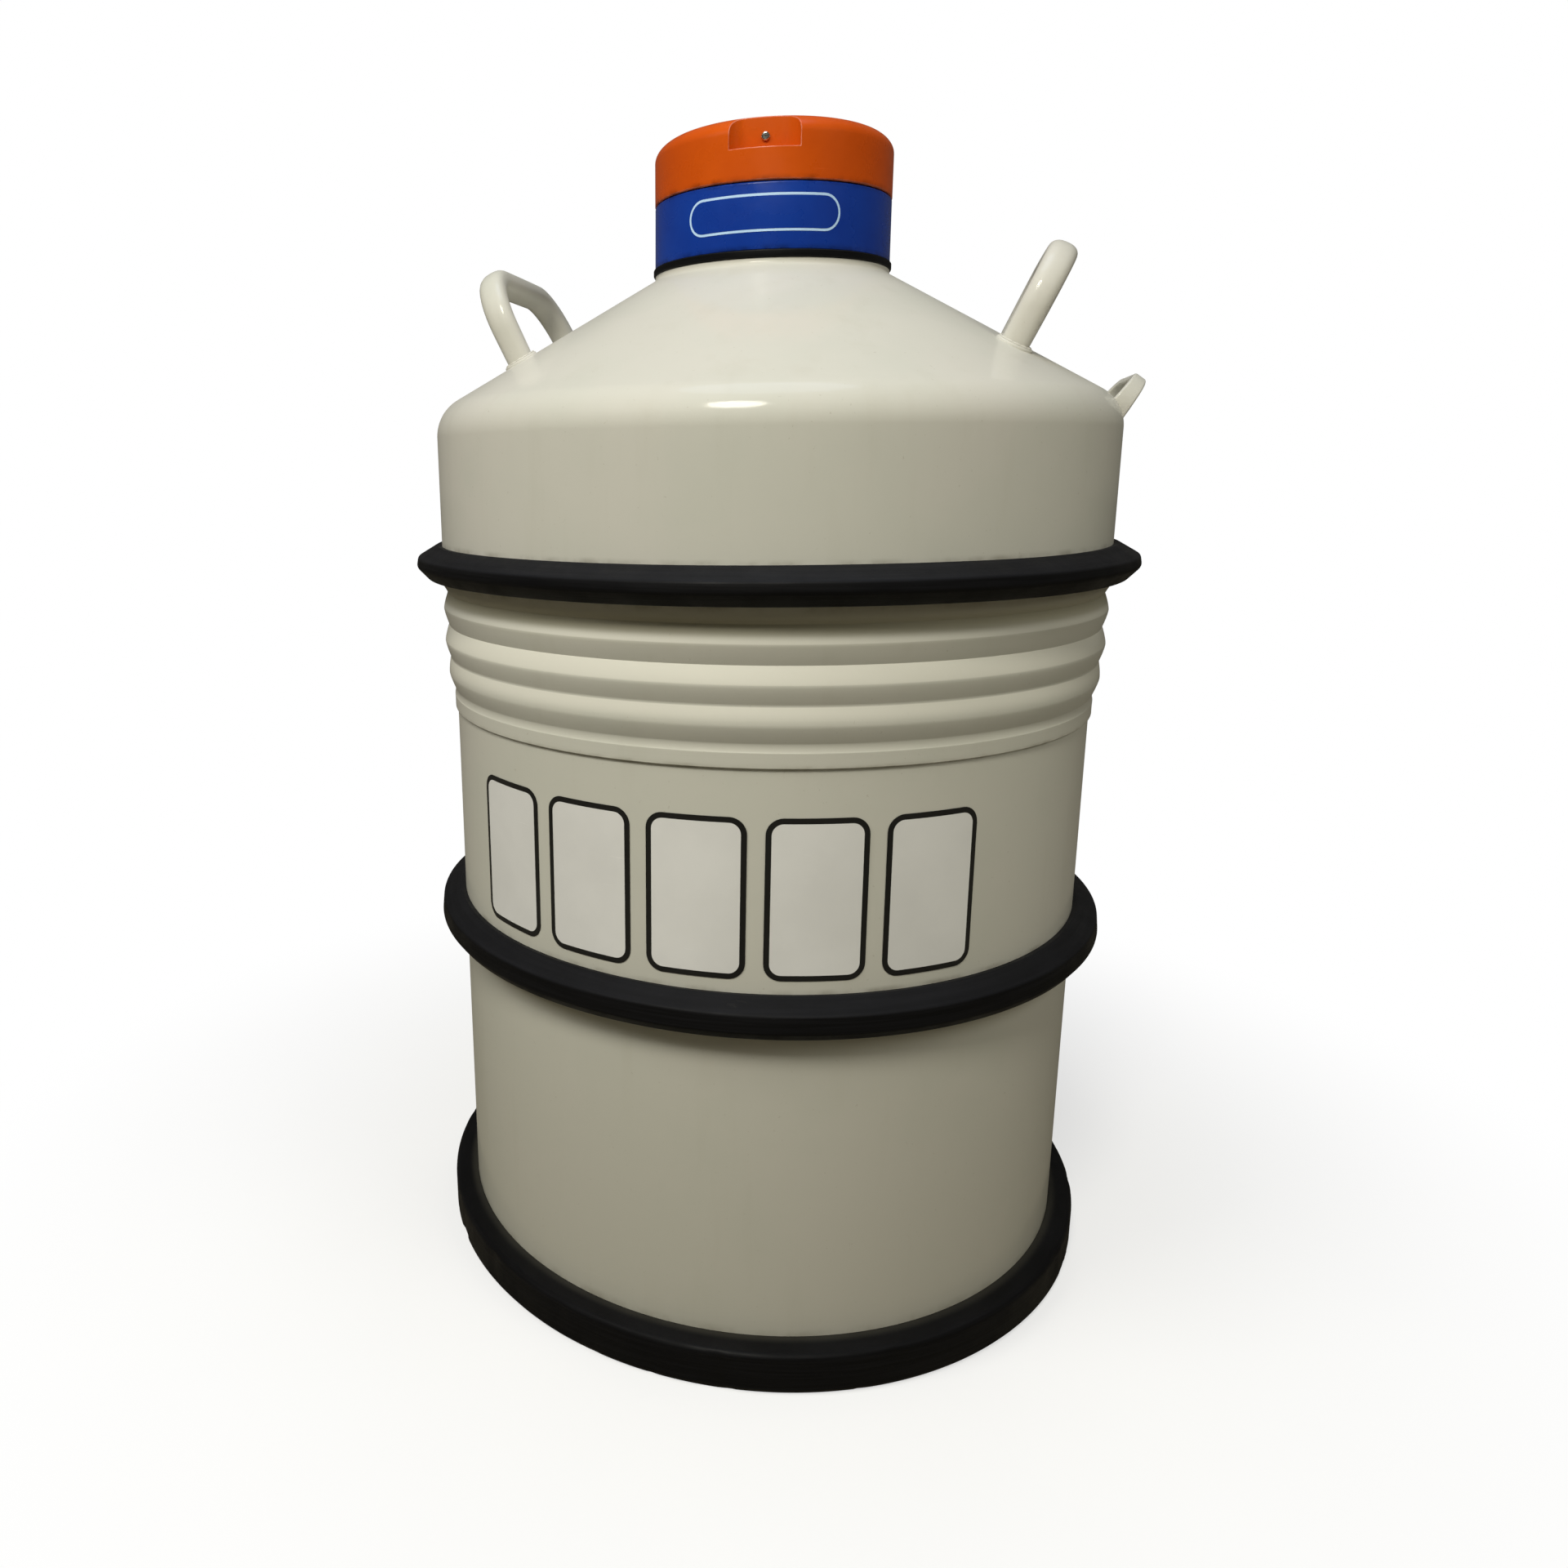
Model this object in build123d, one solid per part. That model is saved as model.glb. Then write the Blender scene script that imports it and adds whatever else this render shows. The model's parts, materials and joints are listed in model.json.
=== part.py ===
from build123d import *
from math import cos, hypot, radians, sin, tan
import os

# Liquid nitrogen dewar with lift-off cap and six canisters. Millimetres, +Z up.
# Origin: centre of the base on the floor. -Y is the front, where the cap's recess is;
# the two carrying handles stand on -X and +X. Every round piece is turned about Z.

# Driving dimensions
OVERALL_HEIGHT = 675.0
LOWER_BODY_R = 195.0
UPPER_BODY_R = 200.5
BUMPER_R = 216.0
CAP_R = 68.5
NECK_BORE_R = 25.0
WALL = 2.5
INNER_WALL = 2.0
CANISTERS = 6

# Outer shell
SEAM_Z = 347.0
LAP = 10.0
BEADS = 3
BEAD_PITCH = 19.5
BEAD_HEIGHT = 2.3
SHOULDER_R = 24.0
SHOULDER_Z = 507.3
SHOULDER_CENTRE_R = UPPER_BODY_R - SHOULDER_R
CONE_ANGLE = 29.4
CONE_SLOPE = radians(CONE_ANGLE)
NECK_LIP_R = 68.6
NECK_LIP_Z = 598.3
NECK_FILLET = 3.0
FOOT_HEIGHT = 8.0
BASE_CORNER_R = 14.0
BASE_FLAT_R = 150.0
DISH_RISE = 12.0

# Rubber rings
MIDDLE_BUMPER_R = 210.2
MIDDLE_BUMPER_Z = 208.8
MIDDLE_BUMPER_HEIGHT = 20.2
BASE_RING_R = 209.8
BASE_RING_HEIGHT = 25.7
BASE_RING_ROUND = 3.5
UPPER_BUMPER_Z = 425.2
UPPER_BUMPER_HEIGHT = 20.1

# Neck, from the cone upward
COLLAR_R = 64.0
COLLAR_TOP = 632.0
COLLAR_WALL = 3.0
COLLAR_PLATE = 4.0
COLLAR_DEPTH = 11.5
GASKET_R = CAP_R + 1.0
SLEEVE_BOTTOM = 602.5
SLEEVE_TOP = 636.8
SPIGOT_R = 65.2
SPIGOT_HEIGHT = 5.0
SLEEVE_LIP = 6.0
TUBE_WALL = 2.0
TUBE_R = NECK_BORE_R + TUBE_WALL
TUBE_BOTTOM = 505.0
TUBE_FLANGE_R = 34.0
TUBE_FLANGE = 2.5
INDEX_R = 36.0
INDEX_BOTTOM = COLLAR_TOP + TUBE_FLANGE
INDEX_TOP = 642.0

# Cap
CAP_BOTTOM = 637.0
CAP_WALL = 3.0
CAP_SIDE_TOP = 660.4
CAP_CROWN_R = 52.0
CAP_CROWN_Z = 671.0
CAP_CORNER_SHIFT = 0.25
RECESS_WIDTH = 39.0
RECESS_FLOOR = 653.2
RECESS_BACK = 59.5
RECESS_CORNER_R = 9.0
CAP_TURN = 3.0
SCREW_Z = 660.1
PLUG_R = 20.5
PLUG_BOTTOM = 527.0
PLUG_CHAMFER = 3.0
CARRIER_Z = 656.0
CARRIER_R = 48.0
CARRIER_THICKNESS = 2.0
LINER_R = 50.0
LINER_TOP = 667.5

# Inner vessel
INNER_R = 148.0
INNER_BOTTOM = 68.0
INNER_CORNER_R = 50.0
INNER_SEAM = 300.0
INNER_SHOULDER_R = 60.0
INNER_SHOULDER_Z = 430.0
INNER_ANGLE = 18.0
INNER_SLOPE = radians(INNER_ANGLE)
INNER_NECK_TOP = 520.0
BLANKET_GAP = 0.5
BLANKET = 20.0
BLANKET_HOLE_R = 70.0
SOCKET_R = 15.0
SOCKET_DEPTH = 12.0
POST_CLEARANCE = 0.1

# Canisters
CUP_R = 19.0
CUP_WALL = 0.8
CUP_HEIGHT = 120.0
CUP_FLOOR = 72.0
ROD_R = 1.25
ROD_RING_R = 22.8
ROD_TOP = 639.7
ROD_BEND = 2.5
ROD_GAP = 0.05
GRIP_R = 3.0
GRIP_LENGTH = 12.0
GRIP_START = 38.0
GRIP_HOLE = 6.0
SPIDER_R = 66.0
SPIDER_PLATE = 1.5
SPIDER_FIN = 52.0
SPIDER_FIN_HEIGHT = 25.0

# How a solid sits on its own origin
ON_FLOOR = (Align.CENTER, Align.CENTER, Align.MIN)


def outline(*edges):
    """A closed half-section, x for radius and y for height, turned about Z."""
    return revolve(Plane.XZ * make_face(list(edges)), Axis.Z)


def turned(*points):
    """A ring or disc with a straight-sided half-section."""
    return outline(Polyline(*points, close=True))


def ring(inner, outer, low, high):
    return turned((inner, low), (outer, low), (outer, high), (inner, high))


def disc(radius, low, high):
    return Pos(0, 0, low) * Cylinder(radius, high - low, align=ON_FLOOR)


def arc(centre, radius, start, end):
    """A circular arc between two directions in degrees, counted from the +x of the half-section."""
    def at(angle):
        return (centre[0] + radius * cos(radians(angle)), centre[1] + radius * sin(radians(angle)))
    return ThreePointArc(at(start), at((start + end) / 2), at(end))


def bulge(start, end, height):
    """An arc that stands out of the chord from start to end, to the right of it going up."""
    length = hypot(end[0] - start[0], end[1] - start[1])
    out = ((end[1] - start[1]) / length, (start[0] - end[0]) / length)
    middle = ((start[0] + end[0]) / 2 + height * out[0], (start[1] + end[1]) / 2 + height * out[1])
    return ThreePointArc(start, middle, end)


def crown_arc(top, edge_r, edge_z):
    """A shallow arc from the axis at height top out to a lower edge, level where it starts."""
    rise = top - edge_z
    radius = (edge_r**2 + rise**2) / (2 * rise)
    middle_r = edge_r / 2
    drop = radius - (radius**2 - middle_r**2) ** 0.5
    return ThreePointArc((0, top), (middle_r, top - drop), (edge_r, edge_z))


def cone_height(radius):
    """Height of the outer shell's cone at a radius."""
    edge_r = SHOULDER_CENTRE_R + SHOULDER_R * sin(CONE_SLOPE)
    edge_z = SHOULDER_Z + SHOULDER_R * cos(CONE_SLOPE)
    return edge_z + (edge_r - radius) * tan(CONE_SLOPE)


# Bead outline, from the lap joint up to the plain wall
LAP_TOP = SEAM_Z + 12.0
LIP_R = 196.4
LIP_ROLL = (196.9, SEAM_Z + 8.0)
LIP_EDGE = (LIP_R, SEAM_Z + 5.0)
VALLEY_R = UPPER_BODY_R - BEAD_HEIGHT
VALLEYS = [
    (LOWER_BODY_R + 0.9, LAP_TOP),
    (VALLEY_R - 0.2, LAP_TOP + BEAD_PITCH),
    (VALLEY_R, LAP_TOP + 2 * BEAD_PITCH),
    (VALLEY_R, LAP_TOP + BEADS * BEAD_PITCH),
]
WALL_FOOT_Z = VALLEYS[-1][1] + 4.0


def shell_line(inset):
    """The upper shell's skin from the lap to the neck lip, moved into the metal by inset."""
    points = [(r - inset, z) for r, z in VALLEYS]
    wall_r = UPPER_BODY_R - inset
    curve_r = SHOULDER_R - inset
    lip_r = NECK_LIP_R - inset
    fillet = NECK_FILLET + inset
    slope = CONE_SLOPE
    cone_low = (SHOULDER_CENTRE_R + curve_r * sin(slope), SHOULDER_Z + curve_r * cos(slope))
    centre_r = lip_r + fillet
    centre_z = cone_low[1] + (cone_low[0] - centre_r) * tan(slope) + fillet / cos(slope)
    cone_high = (centre_r - fillet * sin(slope), centre_z - fillet * cos(slope))
    edges = [bulge(a, b, BEAD_HEIGHT) for a, b in zip(points, points[1:])]
    edges += [
        Polyline(points[-1], (wall_r, WALL_FOOT_Z), (wall_r, SHOULDER_Z)),
        arc((SHOULDER_CENTRE_R, SHOULDER_Z), curve_r, 0, 90 - CONE_ANGLE),
        Line(cone_low, cone_high),
        arc((centre_r, centre_z), fillet, 270 - CONE_ANGLE, 180),
        Line((lip_r, centre_z), (lip_r, NECK_LIP_Z)),
    ]
    return edges


def body_envelope(grown=0.0):
    """The space inside the upper shell's skin moved outward, used to trim what is welded onto it."""
    foot_r, bottom = VALLEYS[0]
    return outline(
        *shell_line(-grown),
        Polyline((NECK_LIP_R + grown, NECK_LIP_Z), (0, NECK_LIP_Z), (0, bottom), (foot_r + grown, bottom)),
    )


# Vacuum port, square to the cone at the back
PORT_R = 125.0
PORT_PLANE = Plane(
    origin=(0, PORT_R, cone_height(PORT_R)),
    x_dir=(1, 0, 0),
    z_dir=(0, sin(CONE_SLOPE), cos(CONE_SLOPE)),
)
PORT_TUBE_R = 11.0
PORT_BORE_R = 8.0
O_RING_R = 6.6
O_RING_Z = 2.0


def outer_shell_upper():
    skirt = Polyline(
        (VALLEYS[0][0] - WALL, LAP_TOP),
        (VALLEYS[0][0] - WALL, SEAM_Z + LAP),
        (LOWER_BODY_R, SEAM_Z + LAP),
        (LOWER_BODY_R, SEAM_Z),
        (LIP_R, SEAM_Z),
        LIP_EDGE,
        LIP_ROLL,
        VALLEYS[0],
    )
    lip = Line((NECK_LIP_R, NECK_LIP_Z), (NECK_LIP_R - WALL, NECK_LIP_Z))
    shell = outline(*shell_line(0), lip, *shell_line(WALL), skirt)
    return shell - PORT_PLANE * Cylinder(PORT_TUBE_R, 40)


def dish_line(lift):
    """The dished bottom from the axis out to the flat, raised by lift."""
    low = FOOT_HEIGHT + lift
    return crown_arc(low + DISH_RISE, BASE_FLAT_R, low)


def outer_shell_lower():
    corner = (LOWER_BODY_R - BASE_CORNER_R, FOOT_HEIGHT + BASE_CORNER_R)
    top = SEAM_Z + LAP
    inside_r = LOWER_BODY_R - WALL
    inside_z = FOOT_HEIGHT + WALL
    return outline(
        dish_line(0),
        Line((BASE_FLAT_R, FOOT_HEIGHT), (corner[0], FOOT_HEIGHT)),
        arc(corner, BASE_CORNER_R, -90, 0),
        Polyline((LOWER_BODY_R, corner[1]), (LOWER_BODY_R, top), (inside_r, top), (inside_r, corner[1])),
        arc(corner, BASE_CORNER_R - WALL, 0, -90),
        Line((corner[0], inside_z), (BASE_FLAT_R, inside_z)),
        dish_line(WALL),
        Line((0, inside_z + DISH_RISE), (0, FOOT_HEIGHT + DISH_RISE)),
    )


def upper_bumper():
    """A ring with a blunt rounded nose and a sloping top."""
    low = UPPER_BUMPER_Z
    high = low + UPPER_BUMPER_HEIGHT
    nose_low = (BUMPER_R - 1.8, low + 5.6)
    nose_high = (BUMPER_R - 2.2, low + 15.4)
    return outline(
        Polyline((UPPER_BODY_R, low), (BUMPER_R - 7, low + 1.2), nose_low),
        ThreePointArc(nose_low, (BUMPER_R, low + 10.3), nose_high),
        Polyline(nose_high, (UPPER_BODY_R + 3, high), (UPPER_BODY_R, high), (UPPER_BODY_R, low)),
    )


def middle_bumper():
    low = MIDDLE_BUMPER_Z
    high = low + MIDDLE_BUMPER_HEIGHT
    lip_low = (MIDDLE_BUMPER_R, low + 4.5)
    lip_high = (MIDDLE_BUMPER_R - 1.2, low + 14.5)
    return outline(
        Line((LOWER_BODY_R, low), (MIDDLE_BUMPER_R - 4, low)),
        bulge((MIDDLE_BUMPER_R - 4, low), lip_low, 0.9),
        bulge(lip_low, lip_high, 0.6),
        Polyline(lip_high, (LOWER_BODY_R + 2.5, high), (LOWER_BODY_R, high), (LOWER_BODY_R, low)),
    )


def base_ring():
    """The rubber boot under the body: upright side, rounded edge, nearly level top."""
    edge = BASE_RING_HEIGHT - 0.7
    centre = (BASE_RING_R - BASE_RING_ROUND, edge - BASE_RING_ROUND)
    return outline(
        Polyline(
            (centre[0], edge),
            (LOWER_BODY_R, BASE_RING_HEIGHT),
            (LOWER_BODY_R, FOOT_HEIGHT),
            (BASE_FLAT_R, FOOT_HEIGHT),
            (BASE_FLAT_R, 0),
            (BASE_RING_R - 2.5, 0),
            (BASE_RING_R, BASE_RING_ROUND),
            (BASE_RING_R, centre[1]),
        ),
        arc(centre, BASE_RING_ROUND, 0, 90),
    )


def neck_collar():
    """The metal neck welded in the shell's lip, closed by a plate round the bore."""
    weld_r = NECK_LIP_R - WALL
    inside_r = COLLAR_R - COLLAR_WALL
    low = NECK_LIP_Z - COLLAR_DEPTH
    plate = COLLAR_TOP - COLLAR_PLATE
    return turned(
        (inside_r, low),
        (weld_r, low),
        (weld_r, NECK_LIP_Z),
        (COLLAR_R, NECK_LIP_Z),
        (COLLAR_R, COLLAR_TOP),
        (TUBE_R, COLLAR_TOP),
        (TUBE_R, plate),
        (inside_r, plate),
    )


def neck_gasket():
    return ring(COLLAR_R, GASKET_R, NECK_LIP_Z, SLEEVE_BOTTOM)


def neck_sleeve():
    """The coloured band, with a spigot on top that centres the cap."""
    lip_r = COLLAR_R - SLEEVE_LIP
    spigot_top = SLEEVE_TOP + SPIGOT_HEIGHT
    return turned(
        (COLLAR_R, SLEEVE_BOTTOM),
        (CAP_R, SLEEVE_BOTTOM),
        (CAP_R, SLEEVE_TOP),
        (SPIGOT_R, SLEEVE_TOP),
        (SPIGOT_R, spigot_top),
        (lip_r, spigot_top),
        (lip_r, COLLAR_TOP),
        (COLLAR_R, COLLAR_TOP),
    )


def neck_tube():
    return turned(
        (NECK_BORE_R, TUBE_BOTTOM),
        (TUBE_R, TUBE_BOTTOM),
        (TUBE_R, COLLAR_TOP),
        (TUBE_FLANGE_R, COLLAR_TOP),
        (TUBE_FLANGE_R, INDEX_BOTTOM),
        (NECK_BORE_R, INDEX_BOTTOM),
    )


def index_ring():
    """The notched ring on the neck: each rod's bend rests in one slot."""
    body = ring(NECK_BORE_R, INDEX_R, INDEX_BOTTOM, INDEX_TOP)
    slot_floor = ROD_TOP - ROD_R - ROD_GAP
    slot = Box(
        INDEX_R,
        2 * ROD_R + 0.6,
        INDEX_TOP,
        align=(Align.MIN, Align.CENTER, Align.MIN),
    )
    for angle in canister_angles():
        body -= Pos(0, 0, slot_floor) * Rot(0, 0, angle) * Pos(NECK_BORE_R - 5, 0, 0) * slot
    return body


def vessel_shoulder(offset):
    """Where the inner vessel's shoulder curve meets its cone, on a surface offset outward."""
    curve_r = INNER_SHOULDER_R + offset
    centre_r = INNER_R - INNER_SHOULDER_R
    return (centre_r + curve_r * sin(INNER_SLOPE), INNER_SHOULDER_Z + curve_r * cos(INNER_SLOPE))


def vessel_top_line(offset, low, neck_r):
    """The inner vessel's skin from height low up to radius neck_r, offset outward."""
    centre = (INNER_R - INNER_SHOULDER_R, INNER_SHOULDER_Z)
    side_r = INNER_R + offset
    edge = vessel_shoulder(offset)
    neck_z = edge[1] + (edge[0] - neck_r) * tan(INNER_SLOPE)
    edges = [
        Line((side_r, low), (side_r, INNER_SHOULDER_Z)),
        arc(centre, INNER_SHOULDER_R + offset, 0, 90 - INNER_ANGLE),
        Line(edge, (neck_r, neck_z)),
    ]
    return edges, (neck_r, neck_z)


def vessel_bottom_line(offset, high, start_r):
    """The inner vessel's skin from radius start_r on the flat bottom up to height high, offset outward."""
    corner = (INNER_R - INNER_CORNER_R, INNER_BOTTOM + INNER_CORNER_R)
    floor = INNER_BOTTOM - offset
    return [
        Line((start_r, floor), (corner[0], floor)),
        arc(corner, INNER_CORNER_R + offset, -90, 0),
        Line((INNER_R + offset, corner[1]), (INNER_R + offset, high)),
    ]


def inner_vessel_lower():
    return outline(
        *vessel_bottom_line(0, INNER_SEAM, 0),
        Line((INNER_R, INNER_SEAM), (INNER_R - INNER_WALL, INNER_SEAM)),
        *vessel_bottom_line(-INNER_WALL, INNER_SEAM, 0),
        Line((0, INNER_BOTTOM + INNER_WALL), (0, INNER_BOTTOM)),
    )


def inner_vessel_upper():
    outside, outside_neck = vessel_top_line(0, INNER_SEAM, TUBE_R + WALL)
    inside, inside_neck = vessel_top_line(-INNER_WALL, INNER_SEAM, TUBE_R)
    stub_r = TUBE_R + WALL
    stub = Polyline(outside_neck, (stub_r, INNER_NECK_TOP), (TUBE_R, INNER_NECK_TOP), inside_neck)
    return outline(
        *outside,
        stub,
        *inside,
        Line((INNER_R - INNER_WALL, INNER_SEAM), (INNER_R, INNER_SEAM)),
    )


def insulation_blanket():
    """Wrapped foil and paper insulation, open at the neck and at the bottom support."""
    neck_r = TUBE_R + WALL + 2.5
    near_top, near_neck = vessel_top_line(BLANKET_GAP, INNER_SEAM, neck_r)
    far_top, far_neck = vessel_top_line(BLANKET, INNER_SEAM, neck_r)
    near_floor = (BLANKET_HOLE_R, INNER_BOTTOM - BLANKET_GAP)
    far_floor = (BLANKET_HOLE_R, INNER_BOTTOM - BLANKET)
    return outline(
        *vessel_bottom_line(BLANKET_GAP, INNER_SEAM, BLANKET_HOLE_R),
        *near_top,
        Line(near_neck, far_neck),
        *far_top,
        *vessel_bottom_line(BLANKET, INNER_SEAM, BLANKET_HOLE_R),
        Line(near_floor, far_floor),
    )


def adsorbent_pack():
    return ring(26, SPIDER_R, INNER_BOTTOM - 16, INNER_BOTTOM)


def support_socket():
    return ring(SOCKET_R, 22, INNER_BOTTOM - SOCKET_DEPTH, INNER_BOTTOM)


def support_post():
    """A hollow post on the outer bottom that steadies the inner vessel's socket."""
    floor = FOOT_HEIGHT + DISH_RISE + WALL + POST_CLEARANCE
    flange = floor + 4
    top = INNER_BOTTOM - 5
    outer_r = SOCKET_R - POST_CLEARANCE
    return turned((10, floor), (24, floor), (24, flange), (outer_r, flange), (outer_r, top), (10, top))


def getter_packet():
    return Pos(100, 0, 19) * Cylinder(14, 10, align=ON_FLOOR)


def canister_angles():
    return [i * 360 / CANISTERS for i in range(CANISTERS)]


CUP_RING_R = ROD_RING_R + ROD_R + ROD_GAP + CUP_R


def canister_spider():
    """The plate on the vessel floor whose fins keep the canisters apart."""
    floor = INNER_BOTTOM + INNER_WALL
    plate = disc(SPIDER_R, floor, floor + SPIDER_PLATE)
    fin = Box(SPIDER_FIN, SPIDER_PLATE, SPIDER_FIN_HEIGHT, align=(Align.MIN, Align.CENTER, Align.MIN))
    for angle in canister_angles():
        plate += Rot(0, 0, angle + 180 / CANISTERS) * Pos(10, 0, floor) * fin
    return plate


def canister_cup(angle):
    """A thin cup with four drain holes in its floor."""
    cup = Cylinder(CUP_R, CUP_HEIGHT, align=ON_FLOOR)
    cup -= Pos(0, 0, CUP_WALL) * Cylinder(CUP_R - CUP_WALL, CUP_HEIGHT, align=ON_FLOOR)
    for hole in PolarLocations(11, 4):
        cup -= hole * Cylinder(2.5, 4 * CUP_WALL)
    return Rot(0, 0, angle) * Pos(CUP_RING_R, 0, CUP_FLOOR) * cup


def canister_rod(angle):
    """A straight rod up through the neck, bent outward over the index ring."""
    foot = CUP_FLOOR + CUP_HEIGHT - 45
    end_r = GRIP_START + GRIP_HOLE
    bend_r = ROD_RING_R + ROD_BEND
    bend_z = ROD_TOP - ROD_BEND
    path = Plane.XZ * (
        Line((ROD_RING_R, foot), (ROD_RING_R, bend_z))
        + arc((bend_r, bend_z), ROD_BEND, 180, 90)
        + Line((bend_r, ROD_TOP), (end_r, ROD_TOP))
    )
    section = Pos(ROD_RING_R, 0, foot) * Circle(ROD_R)
    return Rot(0, 0, angle) * sweep(section, path)


def canister_grip(angle):
    """The moulded grip on the rod's end."""
    grip = Cylinder(GRIP_R, GRIP_LENGTH, align=ON_FLOOR)
    grip = fillet(grip.edges().sort_by(Axis.Z)[-1], 1.2)
    grip -= Cylinder(ROD_R, GRIP_HOLE, align=ON_FLOOR)
    return Rot(0, 0, angle) * Pos(GRIP_START, 0, ROD_TOP) * Rot(0, 90, 0) * grip


def port_tube():
    tube = Pos(0, 0, -20) * Cylinder(PORT_TUBE_R, 29, align=ON_FLOOR)
    return PORT_PLANE * (tube - Cylinder(PORT_BORE_R, 60))


def port_plug():
    plug = Pos(0, 0, -2) * Cylinder(PORT_BORE_R - 0.1, 10, align=ON_FLOOR)
    groove = Pos(0, 0, O_RING_Z) * (Cylinder(PORT_BORE_R, 2.4) - Cylinder(O_RING_R, 2.4))
    return PORT_PLANE * (plug - groove)


def port_o_ring():
    return PORT_PLANE * (Pos(0, 0, O_RING_Z) * (Cylinder(PORT_BORE_R, 2.0) - Cylinder(O_RING_R, 2.0)))


def port_cap():
    """The dust cap over the port, a running fit on the tube so that it pulls off."""
    cap = Pos(0, 0, 0.4) * Cylinder(14, 11.6, align=ON_FLOOR)
    cap = fillet(cap.edges().sort_by(Axis.Z)[-1], 1.5)
    cap -= Cylinder(PORT_TUBE_R + 0.06, 9.5, align=ON_FLOOR)
    return PORT_PLANE * cap


# Handles
HANDLE_R = 136.0
HANDLE_FOOT = 64.0
HANDLE_TOP = 66.0
HANDLE_RISE = 53.0
HANDLE_LEAN = radians(25.5)
HANDLE_CORNER = 32.0
HANDLE_WIDE = 8.2
HANDLE_THICK = 6.2
HANDLE_ROOT = 14.0
PAD_MARGIN = 2.6
PAD_HEIGHT = 2.5
TILTING_R = 195.0
TILTING_Z = 519.5
TILTING_LEAN = radians(36.0)
TILTING_HALF = 35.0
TILTING_RISE = 18.0
TILTING_ROOT = 8.0
TILTING_CORNER = 16.0


def handle_plane(side, radius, height, lean):
    """A plane across the dome at the given radius, leaning outward; its x runs along +Y."""
    return Plane(
        origin=(side * radius, 0, height),
        x_dir=(0, 1, 0),
        z_dir=(cos(lean), 0, -side * sin(lean)),
    )


def loop(plane, points, corner, section):
    """A bar of the given section bent along a rounded path in a plane."""
    path = plane * FilletPolyline(*points, radius=corner)
    start = Plane(origin=path @ 0, x_dir=plane.z_dir, z_dir=path % 0)
    return sweep(start * section, path)


def handle_points():
    flare = (HANDLE_FOOT - HANDLE_TOP) / HANDLE_RISE
    root = HANDLE_FOOT + flare * HANDLE_ROOT
    return [
        (-root, -HANDLE_ROOT),
        (-HANDLE_TOP, HANDLE_RISE),
        (HANDLE_TOP, HANDLE_RISE),
        (root, -HANDLE_ROOT),
    ]


def carrying_plane(side):
    return handle_plane(side, HANDLE_R, cone_height(hypot(HANDLE_R, HANDLE_FOOT)), HANDLE_LEAN)


def carrying_handle(side):
    bar = loop(carrying_plane(side), handle_points(), HANDLE_CORNER, Ellipse(HANDLE_WIDE, HANDLE_THICK))
    return bar - body_envelope()


def handle_lugs(side, handle):
    """A low pad round each foot of a carrying handle, welded to the dome."""
    plane = carrying_plane(side)
    reach = HANDLE_ROOT + 4 * PAD_HEIGHT
    layer = body_envelope(PAD_HEIGHT) - body_envelope()
    pads = []
    for start, end in (handle_points()[:2], handle_points()[:1:-1]):
        path = plane * Line(start, end)
        base = Plane(origin=path @ 0, x_dir=plane.z_dir, z_dir=path % 0)
        column = extrude(base * Ellipse(HANDLE_WIDE + PAD_MARGIN, HANDLE_THICK + PAD_MARGIN), reach)
        pads.append((column & layer) - handle)
    return Compound(children=pads)


def tilting_handle():
    """The small strap on the shoulder, for tipping the vessel."""
    plane = handle_plane(1, TILTING_R, TILTING_Z, TILTING_LEAN)
    points = [
        (-TILTING_HALF, -TILTING_ROOT),
        (-TILTING_HALF, TILTING_RISE),
        (TILTING_HALF, TILTING_RISE),
        (TILTING_HALF, -TILTING_ROOT),
    ]
    return loop(plane, points, TILTING_CORNER, RectangleRounded(11.0, 5.0, 2.2)) - body_envelope()


def cap_space(inset):
    """The space inside the cap's skin, moved inward by inset: straight side, rounded edge, crown."""
    side_r = CAP_R - inset
    crown_r = CAP_CROWN_R - CAP_CORNER_SHIFT * inset
    crown_z = CAP_CROWN_Z - inset
    top = OVERALL_HEIGHT - inset
    diagonal = sin(radians(45))
    middle = (
        crown_r + (side_r - crown_r) * diagonal,
        CAP_SIDE_TOP + (crown_z - CAP_SIDE_TOP) * diagonal,
    )
    return outline(
        Line((side_r, CAP_BOTTOM), (side_r, CAP_SIDE_TOP)),
        ThreePointArc((side_r, CAP_SIDE_TOP), middle, (crown_r, crown_z)),
        crown_arc(top, crown_r, crown_z),
        Polyline((0, top), (0, CAP_BOTTOM), (side_r, CAP_BOTTOM)),
    )


def recess(margin):
    """The recess in the front top edge of the cap, round in its two back corners, grown by margin."""
    block = Box(
        RECESS_WIDTH + 2 * margin,
        50,
        50,
        align=(Align.CENTER, Align.MAX, Align.MIN),
    )
    back_corners = block.edges().filter_by(Axis.Z).group_by(Axis.Y)[-1]
    block = fillet(back_corners, RECESS_CORNER_R + margin)
    return Pos(0, margin - RECESS_BACK, RECESS_FLOOR - margin) * block


SCREW_HEAD_R = 2.3
SCREW_HEAD = 1.5
SCREW_SHANK_R = 1.2
SCREW_PLANE = Plane(origin=(0, -RECESS_BACK, SCREW_Z), x_dir=(1, 0, 0), z_dir=(0, -1, 0))


def cap_shell():
    """The cap's hollow shell with its recess, turned a little on the neck."""
    hollow = cap_space(CAP_WALL) - recess(CAP_WALL)
    shell = cap_space(0) - hollow - recess(0) - SCREW_PLANE * Cylinder(SCREW_SHANK_R, 8)
    return Rot(0, 0, CAP_TURN) * shell


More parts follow.
